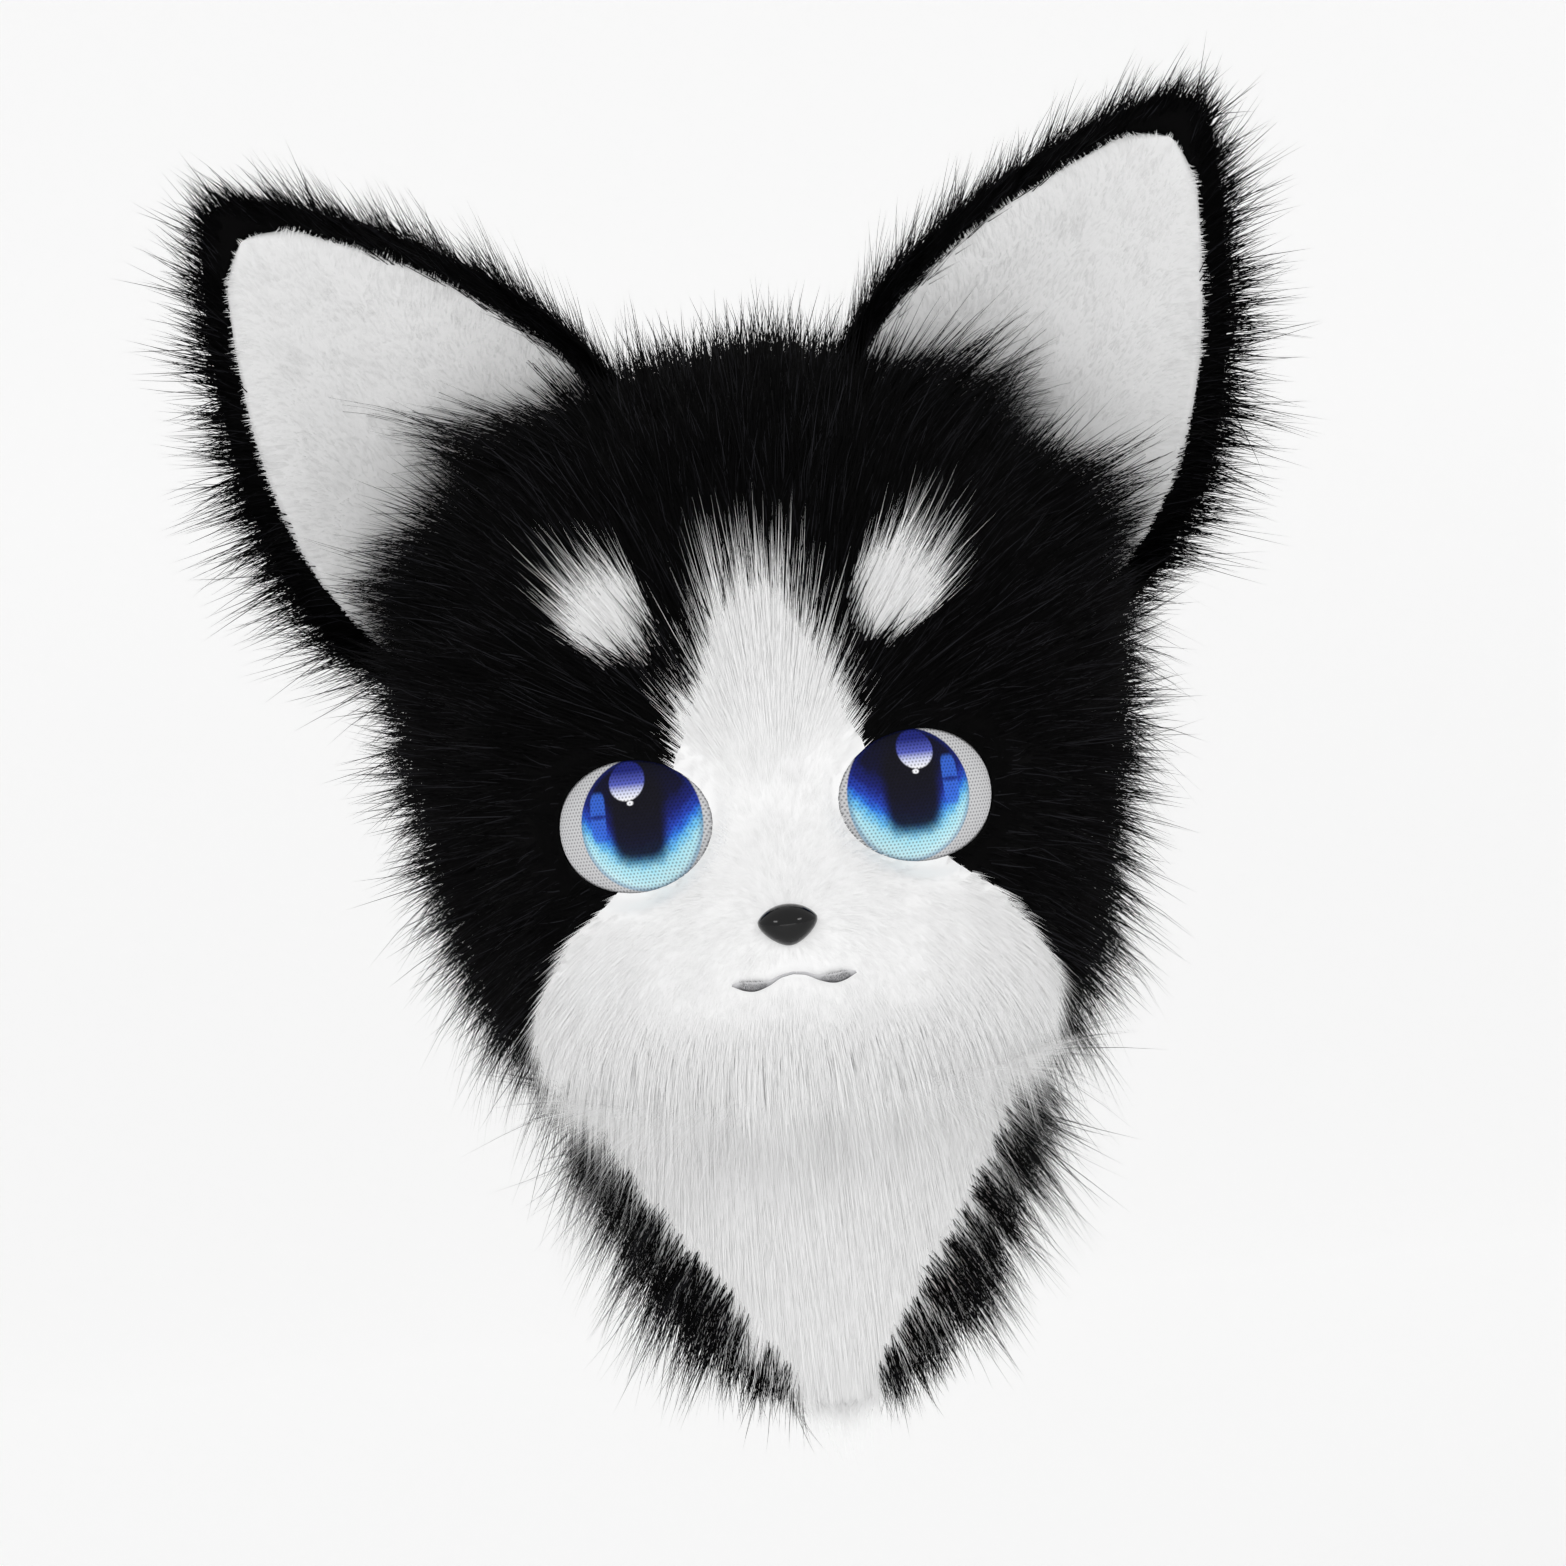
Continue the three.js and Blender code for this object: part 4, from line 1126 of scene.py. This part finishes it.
def snap_to_eyes(s, f, places, removed):
    """Moves the cloth's points round each eye onto its opening, just in front of the mesh."""
    faces = grid_faces(*places.shape[:2], True)
    flat = places.reshape(-1, 3).copy()
    count = len(flat)
    at_eye = np.bincount(faces[removed].ravel(), minlength=count) > 0
    kept = np.bincount(faces[~removed].ravel(), minlength=count) > 0
    edge = at_eye & kept
    for side in (-1, 1):
        ring, local, _ = eye_opening(s, f, flat, side)
        share = 1 / np.maximum(ring, 0.1)
        local = stack(local[:, 0] * share, local[:, 1], local[:, 2] * share)
        placed = moved(local, eye_frame(s, f, side))
        depth = eye_opening(s, f, placed, side)[2]
        placed = moved(stack(local[:, 0], depth, local[:, 2]), eye_frame(s, f, side))
        chosen = edge & (ring < 1.5)
        flat[chosen] = placed[chosen]
    return flat.reshape(places.shape)


def build_head_fur(settings):
    """Fur panels of the head: white face and brows, black hood and nape."""
    s, f, fur, colours = settings.sizes, settings.face, settings.fur, settings.colours
    places, hood, hood_flow, face, face_flow, openings = head_skin(settings)
    middles = quad_middles(places, True)
    eyes = np.minimum(*(eye_opening(s, f, middles, side)[0] for side in (-1, 1))) < 0.98
    is_face = face_mask(s, middles)
    brows = {side: brow_mask(s, f, middles, side) & ~is_face for side in (-1, 1)}
    places = snap_to_edge(places, is_face, face_reach(s, places), 0.005)
    places = snap_to_eyes(s, f, places, eyes)

    # Nothing grows under the nose, the mouth line and the eyes
    on_muzzle = places[..., 1] < -0.1
    off_eyes = (openings > 1.01) * 1.0
    growth = off_eyes.copy()
    growth[:3] = 0
    across = np.abs(places[..., 0]) / (f.mouth_width / 2)
    table_row = np.interp(across, [row["across"] for row in MOUTH_ROWS], range(len(MOUTH_ROWS)))
    drop, line = smooth_rows(MOUTH_ROWS, ["drop", "line"], table_row)
    low_edge = nose_level(s) - f.mouth_drop * (1 + drop)
    in_line = (places[..., 2] > low_edge - 0.003) & (places[..., 2] < low_edge + line * f.mouth_drop + 0.004)
    growth[in_line & (across < 1.02) & on_muzzle] = 0
    nose = np.hypot(places[..., 0] / (f.nose_width / 2), (places[..., 2] - nose_level(s)) / (f.nose_tall / 2))
    growth[(nose < 1.0) & on_muzzle] = 0
    black, white = black_fur(colours), white_fur(colours)
    behind = middles[..., 1] > 0.03
    spots = brows[1] | brows[-1]
    panels = [
        ("face_pile", "face", is_face & ~eyes, face, face_flow, growth, white, "white_fur", ["face_fur"]),
        ("hood_pile", "hood", ~is_face & ~spots & ~eyes & ~behind, hood, hood_flow, off_eyes, black,
         "black_fur", ["hood_fur"]),
        ("nape_pile", "nape", ~is_face & ~eyes & behind, hood, hood_flow, off_eyes, black, "black_fur", []),
        ("brow_pile_left", "brow", brows[1] & ~eyes, hood * 1.1, hood_flow, off_eyes, white, "white_fur",
         ["brow_spot_left"]),
        ("brow_pile_right", "brow", brows[-1] & ~eyes, hood * 1.1, hood_flow, off_eyes, white, "white_fur",
         ["brow_spot_right"]),
    ]
    for name, coat, keep, hair, flow, grown, material, slot, nodes in panels:
        piece = grid_piece(name, places, True, keep, {"flow": flow, "hair": hair, "growth": grown})
        grow_fur(piece, coat, material, fur.fullness)
        finish_piece(piece, slot, nodes)


def hem_drop(s, turn):
    """How far the hem hangs below the rim, all round."""
    away = np.abs(np.degrees(np.arctan2(np.sin(turn), np.cos(turn))))
    row = row_at(HEM_ROWS, "turn", away, len(HEM_ROWS) - 1, 200)
    return smooth_rows(HEM_ROWS, ["drop"], row)[0] * s.bib_drop


def neck_points(s, turn, drop, out):
    """Points round the neck, a drop below the rim and so far out from its lining."""
    share = drop / s.bib_drop
    sideways = s.neck_width / 2 + out
    front, back, flare = 0.076, 0.082, 0.009
    depth = np.where(np.cos(turn) > 0, front, back) + flare * share + out
    return stack(sideways * np.sin(turn), -depth * np.cos(turn), RIM - GAP - drop)


def bib_reach(s, places):
    """How far the white bib reaches sideways. Its hair reaches past it, so it ends a little inside."""
    drops = [row["drop"] * s.bib_drop for row in BIB_EDGE]
    hair_sideways = 0.009
    reach = [row["across"] * s.neck_width / 2 - hair_sideways for row in BIB_EDGE]
    return np.interp(RIM - places[..., 2], drops, reach) + 0.002 * waves(places, 0.012, 59)


def build_neck(settings):
    """Fur neck: the white bib and the black mane round a cloth collar."""
    s, fur, colours = settings.sizes, settings.fur, settings.colours
    turn = round_turns(120)
    share = np.linspace(1, 0, 40)[:, None]
    hem = hem_drop(s, turn)
    cloth = 0.0006
    out = 0.005 + 0.009 * (1 - share)

    # The collar: its inside, the fold at the hem and its outside
    outer = neck_points(s, turn, share * hem, out)
    inner = neck_points(s, turn, share[::-1] * hem, cloth)
    fold = neck_points(s, turn, hem + 0.002, 0.002)
    places = np.concatenate([inner, fold, outer, neck_points(s, turn, 0 * hem, cloth)])
    places[:, :, 2] = np.minimum(places[:, :, 2], RIM - GAP)
    normals = grid_normals(places, True)

    # The bib falls straight, and at its edges outwards; the mane fans out from the rim
    x, z = places[..., 0], places[..., 2]
    beside = np.sign(x) * smooth_step(np.abs(x), 0.0, 0.08)
    away = 1 - smooth_step(np.abs(x), 0.02, 0.08)
    down = lying(unit(stack(beside * 0.3, places[..., 1] * 2 * away, np.full(x.shape, -1.0))), normals)
    top_share = 1 - smooth_step(RIM - z, 0.0, 0.035)
    fanned = lying(unit(stack(beside * (0.8 + 0.6 * top_share), 0 * z, np.full(x.shape, -1.0))), normals)
    growth = np.zeros(x.shape)
    growth[len(inner):] = 1
    even = 1 + 0.2 * waves(places, 0.05, 53)
    low_share = smooth_step(RIM - z, 0.06, 0.12) * smooth_step(-places[..., 1], 0.0, 0.06)
    edge_share = smooth_step(np.abs(x) / bib_reach(s, places), 0.75, 1.05)
    bib_hair = fur.neck_length * even * (0.85 - 0.3 * low_share)
    outwards = stack(np.sign(x) * edge_share * 0.5, 0 * z, 0 * z)
    bib_flow = unit(lying(unit(down + outwards), normals) + normals * (0.11 * edge_share)[..., None])
    mane_hair = fur.neck_length * even * (1.1 - 0.58 * low_share + 0.14 * top_share)
    middles = quad_middles(places, True)
    is_bib = (np.abs(middles[..., 0]) < bib_reach(s, middles)) & (middles[..., 1] < 0)
    places = snap_to_edge(places, is_bib, bib_reach(s, places), 0.004)
    for name, coat, keep, material, slot, flow, hair in [
        ("bib_pile", "bib", is_bib, white_fur(colours), "white_fur", fluffed(bib_flow, normals, 0.2),
         bib_hair),
        ("mane_pile", "mane", ~is_bib, black_fur(colours), "black_fur", fluffed(fanned, normals, 0.6),
         mane_hair),
    ]:
        piece = grid_piece(name, places, True, keep, {"flow": flow, "hair": hair, "growth": growth})
        grow_fur(piece, coat, material, fur.fullness)
        finish_piece(piece, slot, [f"{coat}_fur"])


def ear_points(e, row, share, back):
    """Points on an ear's front, or on its back where back is 1, in its own frame."""
    along, width, cup = smooth_rows(EAR_ROWS, ["along", "width", "cup"], row)
    hollowed = cup * e.cup * (1 - share**2)
    thickness = (e.thickness + (e.hem - e.thickness) * share**2) * np.minimum(1, width * 3)
    return stack(share * width * e.width / 2, hollowed + back * thickness, along * e.length)


def ear_frame(s, e, side):
    """Matrix of an ear's own frame: Z from the root to the tip, looking along -Y."""
    row = row_at(HEAD_ROWS, "height", e.root, CROWN_ROW)
    root = form_points(s, np.array(row), np.array(side * math.pi / 2))
    lean = Matrix.Rotation(side * e.lean, 4, "Y") @ Matrix.Rotation(side * e.turn, 4, "Z")
    return Matrix.Translation(Vector(root)) @ lean


def build_ears(settings):
    """Black ears: a padded, cupped shell with long fur on its back and its edge."""
    s, e, fur, colours = settings.sizes, settings.ear, settings.fur, settings.colours
    rows = np.linspace(0, EAR_LAST, 70)[:, None]
    steps = 31
    shares = np.sin(np.linspace(-np.pi / 2, np.pi / 2, steps))
    front = ear_points(e, rows, shares[None, :], 0.0)
    back = ear_points(e, rows, shares[None, ::-1], 1.0)
    places = np.concatenate([front, back], axis=1)
    tip = np.broadcast_to(places[-1].mean(axis=0) + np.array([0, 0, 0.002]), places[:1].shape)
    foot = np.broadcast_to(places[0].mean(axis=0), places[:1].shape)
    places = np.concatenate([foot, places, tip])
    normals = grid_normals(places, True)
    side_share = np.concatenate([shares, shares[::-1]])[None, :]
    on_back = np.concatenate([np.zeros(steps), np.ones(steps)])[None, :]

    # Fur on the back and on a border round the front
    z = places[..., 2]
    table_along, table_width = smooth_rows(EAR_ROWS, ["along", "width"], np.linspace(0, EAR_LAST, 60))
    width = np.interp(z, table_along * e.length, table_width) * e.width / 2
    inset = np.maximum(1 - e.border / np.maximum(width, 0.001), 0.0)
    edge = smooth_step(np.abs(side_share), 0.5, 1.0)
    growth = np.where(on_back > 0, 1.0, (np.abs(side_share) > inset) * 1.3)
    growth = growth * smooth_step(z, -0.03, 0.0)
    up = z / e.length
    for name, side in SIDES:
        outer = smooth_step(side * side_share, -0.3, 0.6)
        across = side * (outer * (1.0 - 0.45 * smooth_step(up, 0.5, 1.0)) - 0.35 * (1 - outer)) * edge
        rising = 1.0 - outer * (0.85 - 0.75 * smooth_step(up, 0.15, 1.0)) * edge
        flow = lying(unit(stack(across, 0.1 + 0 * z, rising)), normals)
        hair = fur.ear_length * (0.85 + 0.15 * outer) * (1 + 0.25 * waves(places, 0.04, 61))
        hair = hair * np.where(on_back > 0, 1.0, 0.75) * (1 - 0.22 * smooth_step(up, 0.8, 0.95))
        matrix = ear_frame(s, e, side)
        piece = grid_piece(f"ear_pile_{name}", moved(places, matrix), True, None,
                           {"flow": turned(flow, matrix), "hair": hair, "growth": growth})
        grow_fur(piece, "ear", black_fur(colours), fur.fullness)
        finish_piece(piece, "black_fur", [f"ear_{name}"])


def build_linings(settings):
    """White plush ear linings with soft folds and a fuzzy edge."""
    s, e, fur, colours = settings.sizes, settings.ear, settings.fur, settings.colours
    round_from, top = 6, 6.65
    rounded = round_from + (top - round_from) * np.sin(np.linspace(0.08, 1, 14) * np.pi / 2)
    rows = np.concatenate([np.linspace(0, round_from, 52), rounded])[:, None]
    shares = np.linspace(-1, 1, 37)[None, :]
    width = smooth_rows(EAR_ROWS, ["width"], rows)[0] * e.width / 2
    rounding = np.sqrt(np.maximum(1 - (np.maximum(rows - round_from, 0) / (top - round_from)) ** 2, 0.0))
    inset = np.maximum(1 - e.border / width, 0.1) * (0.02 + 0.98 * rounding)
    places = ear_points(e, rows, shares * inset, 0.0)
    softness = 1 - shares**4
    folds = 0.0045 * waves(places * np.array([1.0, 1.0, 0.5]), 0.07, 67)
    places[..., 1] -= GAP + e.lining * (1 - 0.7 * shares**4) + folds * softness
    tuck = places[:, [0, -1]] + np.array([0, 0.004, 0])
    places = np.concatenate([tuck[:, :1], places, tuck[:, 1:]], axis=1)
    normals = grid_normals(places, False)
    side_share = np.concatenate([[-1], shares[0], [1]])[None, :]
    z = places[..., 2]
    flow = lying(unit(stack(1.2 * side_share**3 + 0 * z, 0 * z, 0.6 + 0 * z)), normals)
    hair = fur.lining_length * (0.7 + 0.6 * smooth_step(np.abs(side_share), 0.8, 1.0)) + 0 * z
    growth = smooth_step(z, -0.02, 0.0)
    for name, side in SIDES:
        matrix = ear_frame(s, e, side)
        piece = grid_piece(f"plush_lining_{name}", moved(places, matrix), False, None,
                           {"flow": turned(flow, matrix), "hair": hair, "growth": growth})
        grow_fur(piece, "plush", plush_material(colours), fur.fullness)
        finish_piece(piece, "white_plush", [f"ear_lining_{name}"])


def build_eyes(settings):
    """Domed mesh eyes, printed with the iris, and a narrow rim of the mesh turned under."""
    s, f = settings.sizes, settings.face
    material = eye_print()
    dome = np.linspace(0, 1, 22)
    rings = np.concatenate([dome, [1.0, 0.97, 0.9]])[:, None]
    height = np.concatenate([f.eye_dome * np.sqrt(1 - dome**2), [-0.0012, -0.0016, -0.0008]])
    turns = round_turns(64)
    x = rings * np.sin(turns) * f.eye_width / 2
    z = rings * np.cos(turns) * f.eye_height / 2
    places = stack(x, -height[:, None], z)
    for name, side in SIDES:
        piece = grid_piece(f"eye_mesh_{name}", moved(places, eye_frame(s, f, side)), True)
        mesh = piece.data
        back = eye_frame(s, f, side).inverted()
        layer = mesh.uv_layers.new(name="eye")
        for loop in mesh.loops:
            spot = back @ mesh.vertices[loop.vertex_index].co
            layer.data[loop.index].uv = (side * spot.x / MM, spot.z / MM)
        with mesh_work(mesh) as work:
            bmesh.ops.recalc_face_normals(work, faces=work.faces)
            middle = back.inverted() @ Vector((0, 0.02, 0))
            if sum((face.calc_center_median() - middle).dot(face.normal) for face in work.faces) < 0:
                bmesh.ops.reverse_faces(work, faces=work.faces)
        finish_piece(piece, "eye_mesh", [f"eye_{name}"], material)


def build_nose(settings):
    """Moulded nose: a rounded triangle with a flatter top, a soft ridge and a domed front."""
    s, f = settings.sizes, settings.face
    middle, _ = front_place(s, np.array(0.0), np.array(nose_level(s)))
    turns = round_turns(72)
    rings = np.linspace(0, np.pi, 40)[:, None]
    x = np.sin(rings) * np.sin(turns)
    z = np.sin(rings) * np.cos(turns)
    y = -np.cos(rings) + 0 * turns
    narrowing = 1 + 0.3 * np.minimum(z, 0.35) * (1 - z * 0.2)
    ridge = 0.03 * np.exp(-(((z - 0.15) / 0.28) ** 2)) * np.exp(-((x / 0.7) ** 2))
    seat = 0.005
    deep = np.where(y < 0, f.nose_out * (1 + ridge), seat)
    places = stack(x * narrowing * f.nose_width / 2, signed_power(y, 0.8) * deep,
                   signed_power(z, np.where(z > 0, 1.15, 1.0)) * f.nose_tall / 2)
    places = places + np.array([0, middle[1] - s.short_pile / 2, nose_level(s)])
    piece = grid_piece("nose_cast", places, True)
    with mesh_work(piece.data) as work:
        bmesh.ops.recalc_face_normals(work, faces=work.faces)
    finish_piece(piece, "nose_gloss", ["nose"], moulded_nose(settings.colours))


def build_mouth(settings):
    """Mouth line: short dark hairs in two lobes, in a shallow groove."""
    s, f, fur, colours = settings.sizes, settings.face, settings.fur, settings.colours
    rows = np.linspace(-5, 5, 121)
    across, drop, line = smooth_rows(MOUTH_ROWS, ["across", "drop", "line"], np.abs(rows))
    x = np.sign(rows) * across * f.mouth_width / 2
    bottom = nose_level(s) - f.mouth_drop * (1 + drop)
    heights = np.linspace(0, 1, 9)[:, None]
    z = bottom[None, :] + heights * line[None, :] * f.mouth_drop
    spread = np.broadcast_to(x[None, :], z.shape)
    base, normals = front_place(s, spread, z)
    groove, hair_length = 0.0008, 0.0022
    dip = 4 * heights * (1 - heights) * groove
    places = base + normals * (s.short_pile * 0.8 - dip)[..., None]
    values = {
        "along": np.minimum(heights**0.75 + 0.5 * (1 - smooth_step(line, 0.05, 0.15)), 1.0),
        "flow": lying(stack(0.3 * np.sign(spread), 0 * z, 1 + 0 * z), normals),
        "hair": hair_length + 0 * z,
        "growth": np.broadcast_to(smooth_step(line, 0.1, 0.2)[None, :], z.shape),
    }
    piece = grid_piece("mouth_pile", places, False, None, values)
    grow_fur(piece, "mouth", mouth_pile(colours), fur.fullness)
    finish_piece(piece, "mouth_fabric", ["mouth_line"])


def build_stage(settings):
    """A pale sweep, soft light from all sides, and the camera, rolled as the head is tilted."""
    s = settings.sizes
    scene = bpy.context.scene
    scene.view_settings.view_transform = "Standard"
    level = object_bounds()[0].z - 0.25
    start, radius, steps = 2.6, 0.9, 24
    bend = [(start + radius * math.sin(t), level + radius * (1 - math.cos(t)))
            for t in np.linspace(0, math.pi / 2, steps)]
    profile = [(-7.0, level), *bend, (start + radius, 6.0)]
    places = np.array([[(x, y, z) for x in (-7.0, 7.0)] for y, z in profile])
    floor = grid_piece("stage_sweep", places, False)
    pale = linear(settings.colours.stage)
    values = {"Base Color": pale, "Roughness": 0.9, "Emission Color": pale, "Emission Strength": 0.13}
    floor.data.materials.append(new_material("painted sweep", values)[0])
    floor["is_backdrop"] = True

    world = bpy.data.worlds.new("soft room")
    scene.world = world
    world.use_nodes = True
    sky = world.node_tree.nodes["Background"].inputs
    sky["Color"].default_value = (1, 1, 1, 1)
    sky["Strength"].default_value = 0.78
    for name, place, size, power in [
        ("key", (-1.0, -1.5, 0.9), 0.36, 2.5),
        ("fill", (1.0, -1.5, 0.9), 0.36, 2.5),
        ("low", (0.0, -1.9, -1.0), 1.8, 13.0),
    ]:
        data = bpy.data.lights.new(name, "AREA")
        data.size = size
        data.energy = power
        lamp = new_object(name, data)
        lamp.location = place
        aim = Vector((0, 0, -0.15)) - Vector(place)
        lamp.rotation_euler = aim.to_track_quat("-Z", "Y").to_euler()

    data = bpy.data.cameras.new("camera")
    data.sensor_width = 36
    data.lens = 112.1
    camera = new_object("camera", data)
    camera.location = (0.0041, -2.0, nose_level(s) + 0.0534)
    roll = Matrix.Rotation(math.radians(-6.4), 4, "Z")
    camera.rotation_euler = (Matrix.Rotation(math.pi / 2, 4, "X") @ roll).to_euler()
    scene.camera = camera


class HEAD_OT_stage(bpy.types.Operator):
    """Floor, backdrop, lights and camera"""

    bl_idname = "head.stage"
    bl_label = "Stage"

    def execute(self, context):
        build_stage(context.scene.costume_head)
        return {"FINISHED"}


class HEAD_OT_form(bpy.types.Operator):
    """Hollow padded form with its lining"""

    bl_idname = "head.form"
    bl_label = "Padded form"

    def execute(self, context):
        build_form(context.scene.costume_head)
        return {"FINISHED"}


class HEAD_OT_head_fur(bpy.types.Operator):
    """White face and brows, black hood and nape"""

    bl_idname = "head.head_fur"
    bl_label = "Head fur"

    def execute(self, context):
        build_head_fur(context.scene.costume_head)
        return {"FINISHED"}


class HEAD_OT_neck(bpy.types.Operator):
    """White bib and black mane"""

    bl_idname = "head.neck"
    bl_label = "Neck"

    def execute(self, context):
        build_neck(context.scene.costume_head)
        return {"FINISHED"}


class HEAD_OT_ears(bpy.types.Operator):
    """Black padded ears with their fur"""

    bl_idname = "head.ears"
    bl_label = "Ears"

    def execute(self, context):
        build_ears(context.scene.costume_head)
        return {"FINISHED"}


class HEAD_OT_linings(bpy.types.Operator):
    """White plush in the ears"""

    bl_idname = "head.linings"
    bl_label = "Ear linings"

    def execute(self, context):
        build_linings(context.scene.costume_head)
        return {"FINISHED"}


class HEAD_OT_eyes(bpy.types.Operator):
    """Domed eyes of printed mesh"""

    bl_idname = "head.eyes"
    bl_label = "Eyes"

    def execute(self, context):
        build_eyes(context.scene.costume_head)
        return {"FINISHED"}


class HEAD_OT_nose(bpy.types.Operator):
    """Moulded nose"""

    bl_idname = "head.nose"
    bl_label = "Nose"

    def execute(self, context):
        build_nose(context.scene.costume_head)
        return {"FINISHED"}


class HEAD_OT_mouth(bpy.types.Operator):
    """Soft mouth line"""

    bl_idname = "head.mouth"
    bl_label = "Mouth"

    def execute(self, context):
        build_mouth(context.scene.costume_head)
        return {"FINISHED"}


class HEAD_PT_panel(bpy.types.Panel):
    """Lists the settings and the pieces."""

    bl_label = "Costume head"
    bl_idname = "HEAD_PT_panel"
    bl_space_type = "VIEW_3D"
    bl_region_type = "UI"
    bl_category = "Costume head"

    def draw(self, context):
        settings = context.scene.costume_head
        for group in (settings.sizes, settings.ear, settings.face, settings.fur, settings.colours):
            box = self.layout.box()
            for name in group.bl_rna.properties.keys():
                if name not in ("rna_type", "name"):
                    box.prop(group, name)
        for name in PIECES:
            self.layout.operator(f"head.{name}")


PIECES = ["stage", "form", "head_fur", "neck", "ears", "linings", "eyes", "nose", "mouth"]

CLASSES = [
    HeadSizes, EarSizes, FaceSizes, FurLooks, HeadColours, HeadSettings, HEAD_OT_stage, HEAD_OT_form,
    HEAD_OT_head_fur, HEAD_OT_neck, HEAD_OT_ears, HEAD_OT_linings, HEAD_OT_eyes, HEAD_OT_nose, HEAD_OT_mouth,
    HEAD_PT_panel,
]


def register():
    """Adds the classes and the scene's settings."""
    for kind in CLASSES:
        bpy.utils.register_class(kind)
    bpy.types.Scene.costume_head = PointerProperty(type=HeadSettings)


def unregister():
    """Takes the scene's settings and the classes away."""
    del bpy.types.Scene.costume_head
    for kind in reversed(CLASSES):
        bpy.utils.unregister_class(kind)


def main():
    """Builds every piece with its operator."""
    register()
    for name in PIECES:
        getattr(bpy.ops.head, name)()


if __name__ == "__main__":
    main()
